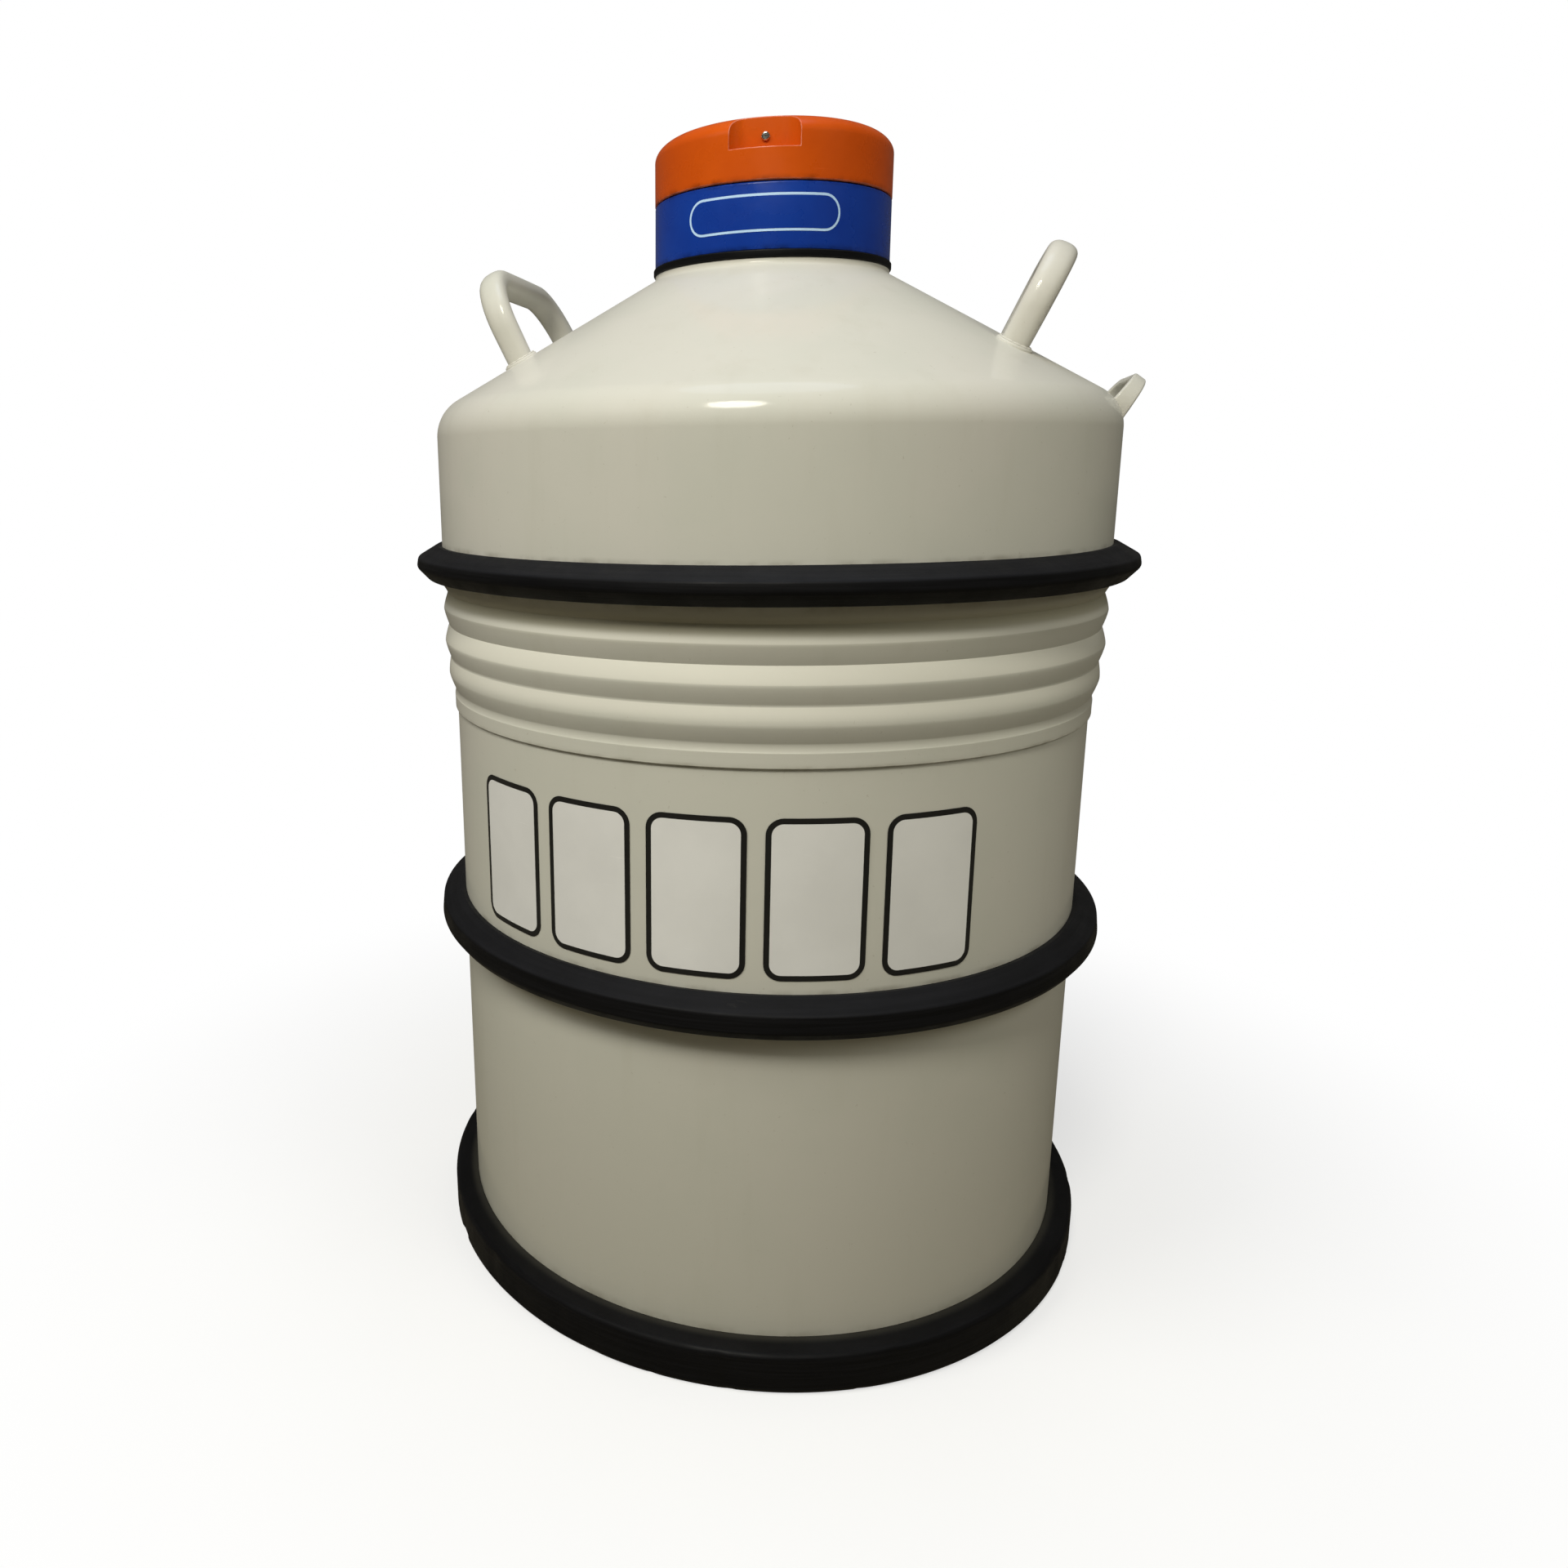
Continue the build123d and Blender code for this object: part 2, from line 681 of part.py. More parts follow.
def recess_screw():
    """The slotted screw in the back wall of the recess."""
    head = Cylinder(SCREW_HEAD_R, SCREW_HEAD, align=ON_FLOOR)
    head = fillet(head.edges().sort_by(Axis.Z)[-1], 0.8)
    slot = Pos(0, 0, SCREW_HEAD) * Box(3 * SCREW_HEAD_R, 0.6, SCREW_HEAD)
    shank = Pos(0, 0, -3.9) * Cylinder(SCREW_SHANK_R, 3.9, align=ON_FLOOR)
    screw = SCREW_PLANE * (head - slot + shank)
    return Rot(0, 0, CAP_TURN) * screw


CARRIER_SCREWS = 3
CARRIER_SCREW_RING = 38.0
CARRIER_SCREW_R = 1.5
CARRIER_SCREW_HEAD_R = 3.0
CARRIER_SCREW_HEAD = 1.2
CARRIER_SCREW_LENGTH = 9.0


def carrier_screw_places():
    return PolarLocations(CARRIER_SCREW_RING, CARRIER_SCREWS, start_angle=30)


def plug_carrier():
    plate = disc(CARRIER_R, CARRIER_Z, CARRIER_Z + CARRIER_THICKNESS)
    for place in carrier_screw_places():
        plate -= place * disc(CARRIER_SCREW_R, CARRIER_Z - 1, CARRIER_Z + CARRIER_THICKNESS + 1)
    return plate


def cap_liner():
    liner = disc(LINER_R, CARRIER_Z + CARRIER_THICKNESS, LINER_TOP)
    for place in carrier_screw_places():
        liner -= place * disc(CARRIER_SCREW_R, CARRIER_Z, CARRIER_Z + CARRIER_SCREW_LENGTH)
    return liner


def carrier_screws():
    """Three screws that hold the plug's plate to the cap's liner."""
    shank = disc(CARRIER_SCREW_R, CARRIER_Z, CARRIER_Z + CARRIER_SCREW_LENGTH)
    head = disc(CARRIER_SCREW_HEAD_R, CARRIER_Z - CARRIER_SCREW_HEAD, CARRIER_Z)
    return Compound(children=[place * (shank + head) for place in carrier_screw_places()])


def neck_plug():
    plug = disc(PLUG_R, PLUG_BOTTOM, CARRIER_Z)
    return chamfer(plug.edges().sort_by(Axis.Z)[0], PLUG_CHAMFER)


def pieces():
    """Every piece by its node name."""
    made = {
        "outer_shell_upper": outer_shell_upper(),
        "outer_shell_lower": outer_shell_lower(),
        "upper_bumper": upper_bumper(),
        "middle_bumper": middle_bumper(),
        "base_ring": base_ring(),
        "neck_collar": neck_collar(),
        "neck_gasket": neck_gasket(),
        "neck_sleeve": neck_sleeve(),
        "neck_tube": neck_tube(),
        "index_ring": index_ring(),
        "inner_vessel_upper": inner_vessel_upper(),
        "inner_vessel_lower": inner_vessel_lower(),
        "insulation_blanket": insulation_blanket(),
        "adsorbent_pack": adsorbent_pack(),
        "support_socket": support_socket(),
        "support_post": support_post(),
        "getter_packet": getter_packet(),
        "canister_spider": canister_spider(),
        "port_tube": port_tube(),
        "port_plug": port_plug(),
        "port_o_ring": port_o_ring(),
        "port_cap": port_cap(),
        "tilting_handle": tilting_handle(),
        "cap_shell": cap_shell(),
        "recess_screw": recess_screw(),
        "plug_carrier": plug_carrier(),
        "carrier_screws": carrier_screws(),
        "cap_liner": cap_liner(),
        "neck_plug": neck_plug(),
    }
    for name, side in (("left", -1), ("right", 1)):
        handle = carrying_handle(side)
        made[name + "_handle"] = handle
        made[name + "_handle_lugs"] = handle_lugs(side, handle)
    for number, angle in enumerate(canister_angles(), start=1):
        made[f"canister_{number}_cup"] = canister_cup(angle)
        made[f"canister_{number}_rod"] = canister_rod(angle)
        made[f"canister_{number}_grip"] = canister_grip(angle)
    return made


os.makedirs("parts", exist_ok=True)
for node, shape in pieces().items():
    export_step(shape, f"parts/{node}.step")
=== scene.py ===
import json
from math import cos, hypot, pi, radians, sin, tan

import bpy
from mathutils import Matrix, Vector, noise


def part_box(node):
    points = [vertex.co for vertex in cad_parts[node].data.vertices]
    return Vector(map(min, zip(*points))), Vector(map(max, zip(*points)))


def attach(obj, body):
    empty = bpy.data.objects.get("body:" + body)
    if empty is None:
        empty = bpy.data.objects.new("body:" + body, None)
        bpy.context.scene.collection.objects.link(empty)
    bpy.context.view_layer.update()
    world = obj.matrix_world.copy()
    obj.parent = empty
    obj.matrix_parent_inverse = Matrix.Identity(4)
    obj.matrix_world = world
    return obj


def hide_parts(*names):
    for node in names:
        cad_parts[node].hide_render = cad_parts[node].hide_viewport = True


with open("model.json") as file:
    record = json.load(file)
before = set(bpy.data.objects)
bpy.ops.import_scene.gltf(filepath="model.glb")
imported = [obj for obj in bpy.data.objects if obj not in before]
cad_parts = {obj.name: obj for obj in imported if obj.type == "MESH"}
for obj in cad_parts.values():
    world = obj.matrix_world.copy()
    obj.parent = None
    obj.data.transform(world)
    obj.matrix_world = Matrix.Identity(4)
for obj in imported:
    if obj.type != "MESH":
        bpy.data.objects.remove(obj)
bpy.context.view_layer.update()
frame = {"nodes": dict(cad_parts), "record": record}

# ---------------------------------------------------------------- sizes, in millimetres
MM = 0.001
FRONT = -90.0  # direction of the front, -Y, in degrees round Z
ROUND = 256  # segments of a turned piece


def low(node):
    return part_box(node)[0].z / MM


def high(node):
    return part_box(node)[1].z / MM


def reach(node):
    """A turned node's outer radius."""
    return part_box(node)[1].x / MM


LOWER_R = reach("outer_shell_lower")
UPPER_R = reach("outer_shell_upper")
SEAM_Z = low("outer_shell_upper")
LIP_Z = high("outer_shell_upper")
CAP_R = reach("cap_shell")
CAP_LOW = low("cap_shell")
CAP_HIGH = high("cap_shell")

# Outer shell: the CAD skin, but with its beads reshaped by bead_points
BEAD_PITCH = 19.5
BEAD_HEIGHTS = (2.4, 2.8, 2.8)  # from the lowest
VALLEY_DEPTH = 2.3
VALLEY_R = UPPER_R - VALLEY_DEPTH
LAP_TOP = SEAM_Z + 12
TOP_VALLEY_Z = LAP_TOP + len(BEAD_HEIGHTS) * BEAD_PITCH
SHOULDER_R = 24.0
SHOULDER_Z = 507.3
SHOULDER_CENTRE_R = UPPER_R - SHOULDER_R
CONE_DEGREES = 29.4
SLOPE = radians(CONE_DEGREES)
CONE_EDGE_R = SHOULDER_CENTRE_R + SHOULDER_R * sin(SLOPE)
CONE_EDGE_Z = SHOULDER_Z + SHOULDER_R * cos(SLOPE)
NECK_R = 68.6
NECK_FILLET = 3.0
WALL = 2.5
BASE_CORNER_R = 14.0
BASE_FLAT_R = 150.0
DISH_RISE = 12.0

# Neck
COLLAR_R = 64.0
COLLAR_TOP = 632.0
SPIGOT_R = 65.2
MOUTH_R = 58.0

# Cap
CAP_WALL = 3.0
CAP_SIDE_TOP = 660.4
CAP_CROWN_R = 52.0
CAP_CROWN_Z = 671.0
RECESS_HALF_WIDTH = 19.5
RECESS_FLOOR = 653.2
RECESS_BACK = -59.5
RECESS_CORNER_R = 9.0
CAP_TURN = radians(3.0)  # to the right, seen from the front

# Carrying handles
HANDLE_R = 136.0
HANDLE_FOOT = 64.0
HANDLE_TOP = 66.0
HANDLE_RISE = 53.0
HANDLE_LEAN = radians(25.5)
HANDLE_CORNER = 32.0
HANDLE_WIDE = 8.2
HANDLE_THICK = 6.2
HANDLE_ROOT = 14.0

# Tilting handle
TILTING_R = 195.0
TILTING_Z = 519.5
TILTING_HALF = 35.0
TILTING_RISE = 16.5
TILTING_LEAN = radians(36.0)
TILTING_CORNER = 16.0
TILTING_ROOT = 8.0


def cone_height(radius):
    """Height of the dome's cone over a radius."""
    return CONE_EDGE_Z + (CONE_EDGE_R - radius) * tan(SLOPE)


def skin_height(radius):
    """Height of the dome over a radius, cone or shoulder."""
    if radius <= CONE_EDGE_R:
        return cone_height(radius)
    run = min(radius - SHOULDER_CENTRE_R, SHOULDER_R)
    return SHOULDER_Z + (SHOULDER_R**2 - run**2) ** 0.5


# ---------------------------------------------------------------- meshes
def add_mesh(name, points, faces, body, material, crease=35):
    """A smooth-shaded piece from points in millimetres that rides on a CAD body."""
    mesh = bpy.data.meshes.new(name)
    mesh.from_pydata([Vector(p) * MM for p in points], [], faces)
    mesh.validate()
    mesh.polygons.foreach_set("use_smooth", [True] * len(mesh.polygons))
    mesh.set_sharp_from_angle(angle=radians(crease))
    piece = bpy.data.objects.new(name, mesh)
    bpy.context.scene.collection.objects.link(piece)
    piece.data.materials.append(material)
    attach(piece, body)
    return piece


def arc_points(centre, radius, start, end, steps=10):
    """Points on an arc between two directions in degrees."""
    turns = [radians(start + (end - start) * i / steps) for i in range(steps + 1)]
    return [(centre[0] + radius * cos(t), centre[1] + radius * sin(t)) for t in turns]


def bead_points(start, end, height, steps=24):
    """Points up a rolled bead, without the last one: two slightly bowed flanks that meet in a soft crest."""
    chord = Vector(end) - Vector(start)
    out = Vector((chord.y, -chord.x)).normalized()
    points = []
    for i in range(steps):
        t = i / steps
        bulge = 1 - abs(2 * t - 1) ** 1.35
        points.append(tuple(Vector(start) + chord * t + out * height * bulge))
    return points


def rounded(corners, steps=5):
    """An outline from (x, y, rounding) corners."""
    points = []
    for i, (x, y, size) in enumerate(corners):
        at = Vector((x, y))
        if not size:
            points.append((x, y))
            continue
        before = (Vector(corners[i - 1][:2]) - at).normalized()
        after = (Vector(corners[(i + 1) % len(corners)][:2]) - at).normalized()
        half = before.angle(after) / 2
        centre = at + (before + after).normalized() * size / sin(half)
        start = at + before * size / tan(half) - centre
        end = at + after * size / tan(half) - centre
        for k in range(steps + 1):
            points.append(tuple(centre + start.lerp(end, k / steps).normalized() * size))
    return points


def lathe(outline, segments=ROUND, ripple=None):
    """Points and faces of a closed outline of (radius, height) turned about Z; a radius of 0 is one point."""
    points = []
    faces = []
    columns = []
    for s in range(segments):
        turn = 2 * pi * s / segments
        column = []
        for i, (r, z) in enumerate(outline):
            if r == 0 and s:
                column.append(columns[0][i])
                continue
            if ripple:
                r, z = ripple(r, z, turn)
            column.append(len(points))
            points.append((r * cos(turn), r * sin(turn), z))
        columns.append(column)
    for s in range(segments):
        here = columns[s]
        there = columns[(s + 1) % segments]
        for i in range(len(outline)):
            j = (i + 1) % len(outline)
            face = list(dict.fromkeys((here[i], there[i], there[j], here[j])))
            if len(face) > 2:
                faces.append(face)
    return points, faces


def tube(path, frames, section, closed=False):
    """Points and faces of a section swept along a path; frames gives each point's two cross directions."""
    points = []
    faces = []
    count = len(section(0))
    for i, centre in enumerate(path):
        across, up = frames[i]
        for a, b in section(i):
            points.append(tuple(Vector(centre) + across * a + up * b))
    rings = len(path)
    for i in range(rings if closed else rings - 1):
        here = i * count
        there = (i + 1) % rings * count
        for k in range(count):
            n = (k + 1) % count
            faces.append((here + k, here + n, there + n, there + k))
    if not closed:
        faces.append(tuple(reversed(range(count))))
        faces.append(tuple(range((rings - 1) * count, rings * count)))
    return points, faces


def ellipse(wide, thick, count):
    return [(wide * cos(2 * pi * k / count), thick * sin(2 * pi * k / count)) for k in range(count)]


# ---------------------------------------------------------------- materials
class Recipe:
    """One procedural material, built round a Principled shader."""

    def __init__(self, name):
        self.material = bpy.data.materials.new(name)
        self.material.use_nodes = True
        self.tree = self.material.node_tree
        self.tree.nodes.clear()
        output = self.tree.nodes.new("ShaderNodeOutputMaterial")
        self.shader = self.tree.nodes.new("ShaderNodeBsdfPrincipled")
        self.link(self.shader.outputs[0], output.inputs["Surface"])
        self.place = self.tree.nodes.new("ShaderNodeTexCoord").outputs["Object"]

    def link(self, source, target):
        self.tree.links.new(source, target)

    def feed(self, target, value):
        """Sets an input from a socket or a value."""
        if isinstance(value, bpy.types.NodeSocket):
            self.link(value, target)
        elif isinstance(value, tuple) and len(value) == 3 and target.type == "RGBA":
            target.default_value = (*value, 1)
        else:
            target.default_value = value

    def set(self, **values):
        """Sets the shader's inputs by name, with _ for a space."""
        for key, value in values.items():
            self.feed(self.shader.inputs[key.replace("_", " ")], value)

    def math(self, operation, a, b=0.0):
        node = self.tree.nodes.new("ShaderNodeMath")
        node.operation = operation
        self.feed(node.inputs[0], a)
        self.feed(node.inputs[1], b)
        return node.outputs[0]

    def stretched(self, scale):
        """The object's coordinates scaled by axis."""
        node = self.tree.nodes.new("ShaderNodeMapping")
        self.link(self.place, node.inputs["Vector"])
        node.inputs["Scale"].default_value = scale
        return node.outputs[0]

    def noise(self, scale, detail=3.0, stretch=None, roughness=0.55):
        """Cloudy variation; scale is in cells per metre."""
        node = self.tree.nodes.new("ShaderNodeTexNoise")
        self.link(self.stretched(stretch) if stretch else self.place, node.inputs["Vector"])
        node.inputs["Scale"].default_value = scale
        node.inputs["Detail"].default_value = detail
        node.inputs["Roughness"].default_value = roughness
        return node.outputs[0]

    def cells(self, scale, feature="F1"):
        """Crumpled or pitted cells; scale is in cells per metre."""
        node = self.tree.nodes.new("ShaderNodeTexVoronoi")
        node.feature = feature
        self.link(self.place, node.inputs["Vector"])
        node.inputs["Scale"].default_value = scale
        return node.outputs[0]

    def range(self, value, start, end, first=0.0, last=1.0):
        """Goes smoothly from first to last as a value goes from start to end, and stays level outside."""
        node = self.tree.nodes.new("ShaderNodeMapRange")
        node.interpolation_type = "SMOOTHSTEP"
        for i, item in enumerate((value, start, end, first, last)):
            self.feed(node.inputs[i], item)
        return node.outputs[0]

    def mix(self, factor, a, b):
        node = self.tree.nodes.new("ShaderNodeMix")
        node.data_type = "RGBA"
        self.feed(node.inputs[0], factor)
        self.feed(node.inputs[6], a)
        self.feed(node.inputs[7], b)
        return node.outputs[2]

    def axis(self, name):
        """The X, Y or Z coordinate in the object, in metres."""
        node = self.tree.nodes.new("ShaderNodeSeparateXYZ")
        self.link(self.place, node.inputs[0])
        return node.outputs["XYZ".index(name)]

    def from_axis(self):
        """Distance from the object's upright axis, in metres."""
        squares = [self.math("POWER", self.axis(name), 2.0) for name in "XY"]
        return self.math("SQRT", self.math("ADD", *squares))

    def facing_up(self):
        """1 where the surface looks straight up, 0 where it is upright, -1 where it looks down."""
        node = self.tree.nodes.new("ShaderNodeNewGeometry")
        split = self.tree.nodes.new("ShaderNodeSeparateXYZ")
        self.link(node.outputs["Normal"], split.inputs[0])
        return split.outputs[2]

    def bump(self, height, distance, strength=1.0, after=None):
        node = self.tree.nodes.new("ShaderNodeBump")
        self.feed(node.inputs["Height"], height)
        node.inputs["Distance"].default_value = distance
        node.inputs["Strength"].default_value = strength
        if after:
            self.link(after, node.inputs["Normal"])
        return node.outputs[0]

    def soft_edges(self, radius):
        """Normals rounded over the sharp edges of a moulding; radius in millimetres."""
        node = self.tree.nodes.new("ShaderNodeBevel")
        node.samples = 6
        node.inputs["Radius"].default_value = radius * MM
        return node.outputs[0]

    def edge_wear_and_highlight(self, rounded):
        """1 along sharp edges, from how far the rounded normal turns away from the true one, else 0."""
        turn = self.tree.nodes.new("ShaderNodeVectorMath")
        turn.operation = "DOT_PRODUCT"
        true = self.tree.nodes.new("ShaderNodeNewGeometry")
        self.link(rounded, turn.inputs[0])
        self.link(true.outputs["Normal"], turn.inputs[1])
        return self.range(turn.outputs["Value"], 0.86, 0.995, 1.0, 0.0)

    def near(self, z, width):
        """1 at a height, fading to 0 over width on either side; both in millimetres."""
        gap = self.math("ABSOLUTE", self.math("SUBTRACT", self.axis("Z"), z * MM))
        return self.range(gap, 0.0, width * MM, 1.0, 0.0)


def enamel(name, grime_heights=(), painted_shadow_heights=(), painted_light_flanks=None):
    """Semi-gloss stone-grey enamel on sheet metal: orange peel, faint streaks, and painted shade that darkens
    it low down.

    Grime and painted shadow are (height, width) bands. Between the two heights given last, faces that
    look up are painted paler: painted light on the upward flanks of the beads.
    """
    m = Recipe(name)
    clouds = m.range(m.noise(4.0, 3), 0.35, 0.65)
    colour = m.mix(clouds, (0.556, 0.552, 0.492), (0.574, 0.558, 0.506))
    mottle = m.range(m.noise(17.0, 3), 0.45, 0.7, 0.0, 0.35)
    colour = m.mix(mottle, colour, (0.522, 0.530, 0.468))
    streaks = m.range(m.noise(9.0, 5, (6, 6, 0.7)), 0.52, 0.78, 0.0, 0.16)
    colour = m.mix(streaks, colour, (0.44, 0.42, 0.34))
    specks = m.range(m.noise(520.0, 2), 0.71, 0.76, 0.0, 0.30)
    colour = m.mix(specks, colour, (0.30, 0.27, 0.21))
    patchy = m.range(m.noise(60.0, 5), 0.35, 0.75)
    for z, width in grime_heights:
        amount = m.math("MULTIPLY", m.math("MULTIPLY", m.near(z, width), patchy), 0.55)
        colour = m.mix(amount, colour, (0.20, 0.18, 0.13))
    # painted shadow: darker warm bands that stand for shadows cast by the bumpers
    for z, width in painted_shadow_heights:
        colour = m.mix(m.math("MULTIPLY", m.near(z, width), 0.5), colour, (0.26, 0.235, 0.14))
    # painted shade: darker towards the bottom, where less light reaches
    colour = m.mix(m.range(m.axis("Z"), 0.03, 0.30, 0.40, 0.0), colour, (0.38, 0.365, 0.295))
    # painted light: between the two heights, faces that look up are painted paler, as if lit from above
    if painted_light_flanks:
        base, top = painted_light_flanks
        above = m.range(m.axis("Z"), base * MM, (base + 4) * MM)
        below = m.range(m.axis("Z"), (top - 4) * MM, top * MM, 1.0, 0.0)
        between = m.math("MULTIPLY", above, below)
        worn = m.math("MULTIPLY", between, m.range(m.facing_up(), 0.04, 0.18, 0.0, 0.9))
        colour = m.mix(worn, colour, (0.70, 0.69, 0.62))
    smudges = m.range(m.noise(14.0, 5), 0.4, 0.75, 0.52, 0.64)
    peel = m.bump(m.noise(260.0, 1), 0.00010, 0.30)
    waves = m.bump(m.noise(11.0, 1), 0.0012, 0.14, peel)
    m.set(Base_Color=colour, Roughness=smudges, Normal=waves, Specular_IOR_Level=0.35, Coat_Weight=0.35,
          Coat_Roughness=0.10)
    return m.material


def rubber(name, dusty, scuffed=0.0, rim=None):
    """Black rubber: fine grain, drawn lines, scuffs and dust on faces that look up.

    Where rim is given, there is more dust just outside that radius.
    """
    m = Recipe(name)
    grain = m.noise(900.0, 2)
    lines = m.noise(60.0, 3, (0.25, 0.25, 12))
    colour = m.mix(m.range(lines, 0.35, 0.7), (0.0030, 0.0030, 0.0034), (0.0055, 0.0055, 0.0064))
    patchy = m.range(m.noise(26.0, 5), 0.2, 0.8, 0.6, 1.0)
    dust = m.math("MULTIPLY", m.range(m.facing_up(), 0.10, 0.80), patchy)
    colour = m.mix(m.math("MULTIPLY", dust, dusty), colour, (0.046, 0.048, 0.060))
    if rim:
        band = m.range(m.from_axis(), (rim + 1) * MM, (rim + 6) * MM, 0.55, 0.0)
        colour = m.mix(m.math("MULTIPLY", dust, band), colour, (0.046, 0.044, 0.036))
    scrapes = m.range(m.noise(34.0, 6, (0.5, 0.5, 2.2), 0.7), 0.64, 0.70, 0.0, 0.6)
    patch = m.range(m.noise(7.0, 2), 0.48, 0.62)
    scrapes = m.math("MULTIPLY", scrapes, patch)
    colour = m.mix(m.math("MULTIPLY", scrapes, 0.2 + scuffed), colour, (0.075, 0.072, 0.064))
    rough = m.range(m.noise(40.0, 4), 0.3, 0.7, 0.46, 0.62)
    fine = m.bump(grain, 0.00006, 0.5)
    drawn = m.bump(lines, 0.0003, 0.4, fine)
    worn = m.bump(scrapes, 0.0005, 0.5, drawn)
    m.set(Base_Color=colour, Roughness=rough, Normal=worn, Specular_IOR_Level=0.13)
    return m.material


def moulded(name, dark, light, rough, dirt_and_shadow_heights=(), soft=0.0, shine=0.38):
    """Moulded plastic: slow tone change, fine texture, hairline scratches, a little grime along its edges
    with painted shadow where a part overhangs it, and, with soft edges, pale edges that are partly wear and
    partly painted highlight.
    """
    m = Recipe(name)
    colour = m.mix(m.range(m.noise(16.0, 4), 0.3, 0.7), dark, light)
    scratches = m.range(m.noise(120.0, 4, (0.2, 0.2, 6), 0.7), 0.69, 0.74, 0.0, 0.28)
    colour = m.mix(scratches, colour, tuple(min(1.0, c * 1.5 + 0.04) for c in light))
    # bands at given heights: grime, and painted shadow where another part overhangs
    for z in dirt_and_shadow_heights:
        dirt_and_shadow = m.math("MULTIPLY", m.near(z, 3.5), m.range(m.noise(130.0, 4), 0.35, 0.7, 0.1, 0.7))
        colour = m.mix(dirt_and_shadow, colour, tuple(c * 0.25 for c in dark))
    normal = None
    if soft:
        normal = m.soft_edges(soft)
        # pale edges: partly wear, partly painted highlight along the rounded edges
        worn = m.math("MULTIPLY", m.edge_wear_and_highlight(normal), m.range(m.noise(90.0, 4), 0.35, 0.65, 0.3, 1.0))
        colour = m.mix(worn, colour, tuple(min(1.0, c + 0.28) for c in light))
    roughness = m.range(m.noise(45.0, 4), 0.3, 0.75, rough - 0.06, rough + 0.12)
    texture = m.bump(m.noise(700.0, 2), 0.00005, 0.35, normal)
    sink = m.bump(m.noise(28.0, 1), 0.0006, 0.12, texture)
    m.set(Base_Color=colour, Roughness=roughness, Normal=sink, Specular_IOR_Level=shine)
    return m.material


def bare_metal(name, tone, rough=0.32, lines=(0.4, 0.4, 40)):
    """Bare metal with turning or drawing marks."""
    m = Recipe(name)
    marks = m.noise(40.0, 4, lines)
    dark = tuple(c * 0.82 for c in tone)
    colour = m.mix(m.range(marks, 0.3, 0.7), dark, tone)
    stains = m.range(m.noise(22.0, 5), 0.55, 0.8, 0.0, 0.3)
    colour = m.mix(stains, colour, tuple(c * 0.6 for c in tone))
    roughness = m.range(m.noise(60.0, 3), 0.3, 0.7, rough - 0.06, rough + 0.1)
    m.set(Base_Color=colour, Metallic=1.0, Roughness=roughness, Normal=m.bump(marks, 0.0001, 0.5))
    return m.material


def laminate(name):
    """Amber glass-fibre laminate with a faint cross weave."""
    m = Recipe(name)
    warp = m.noise(30.0, 2, (1, 1, 40))
    weft = m.noise(30.0, 2, (30, 30, 1))
    weave = m.math("MULTIPLY", warp, weft)
    colour = m.mix(m.range(weave, 0.15, 0.4), (0.42, 0.33, 0.12), (0.66, 0.56, 0.28))
    m.set(Base_Color=colour, Roughness=0.3, Normal=m.bump(weave, 0.0002, 0.5), Subsurface_Weight=0.05)
    return m.material


def foam(name):
    """Rigid closed-cell foam, slightly pitted."""
    m = Recipe(name)
    pits = m.cells(700.0)
    colour = m.mix(m.range(m.noise(30.0, 4), 0.3, 0.7), (0.72, 0.67, 0.50), (0.82, 0.78, 0.62))
    colour = m.mix(m.range(pits, 0.0, 0.35, 0.35, 0.0), colour, (0.45, 0.40, 0.26))
    m.set(Base_Color=colour, Roughness=0.85, Normal=m.bump(pits, 0.0004, 0.6))
    return m.material


def foil(name):
    """Crinkled aluminised film."""
    m = Recipe(name)
    creases = m.cells(90.0, "F2")
    roughness = m.range(m.noise(60.0, 4), 0.3, 0.7, 0.18, 0.4)
    colour = m.mix(m.noise(20.0), (0.62, 0.63, 0.65), (0.85, 0.85, 0.86))
    m.set(Base_Color=colour, Metallic=1.0, Roughness=roughness, Normal=m.bump(creases, 0.002, 0.6))
    return m.material


def cloth(name):
    """Woven glass cloth."""
    m = Recipe(name)
    weave = m.math("MULTIPLY", m.noise(200.0, 1, (6, 1, 1)), m.noise(200.0, 1, (1, 6, 1)))
    colour = m.mix(m.range(weave, 0.15, 0.4), (0.55, 0.53, 0.46), (0.8, 0.78, 0.7))
    m.set(Base_Color=colour, Roughness=0.9, Normal=m.bump(weave, 0.0004, 0.6))
    return m.material


PAINT = enamel(
    "body_enamel",
    ((SEAM_Z, 2.5), (low("upper_bumper"), 4), (high("upper_bumper"), 3)),
    # painted shadow under the upper bumper and across the top bead
    ((low("upper_bumper") - 6, 17), (TOP_VALLEY_Z - 1, 7)),
    # painted light on the upward bead flanks between these heights
    (LAP_TOP + 2, TOP_VALLEY_Z - 4),
)
LOWER_PAINT = enamel(
    "lower_body_enamel",
    ((SEAM_Z, 2), (high("middle_bumper"), 3), (low("middle_bumper"), 3), (high("base_ring"), 6)),
    # painted shadow under the middle bumper
    ((low("middle_bumper") - 4, 14),),
)
HANDLE_PAINT = enamel("handle_enamel")
RUBBER = rubber("bumper_rubber", 0.14)
BASE_RUBBER = rubber("base_rubber", 0.02, 0.7, LOWER_R)
# soft edges of 0.9 mm, whose pale colour is partly wear and partly painted highlight
ORANGE = moulded("cap_orange", (0.50, 0.066, 0.0025), (0.57, 0.084, 0.004), 0.30, (CAP_LOW,), 0.9, 0.22)
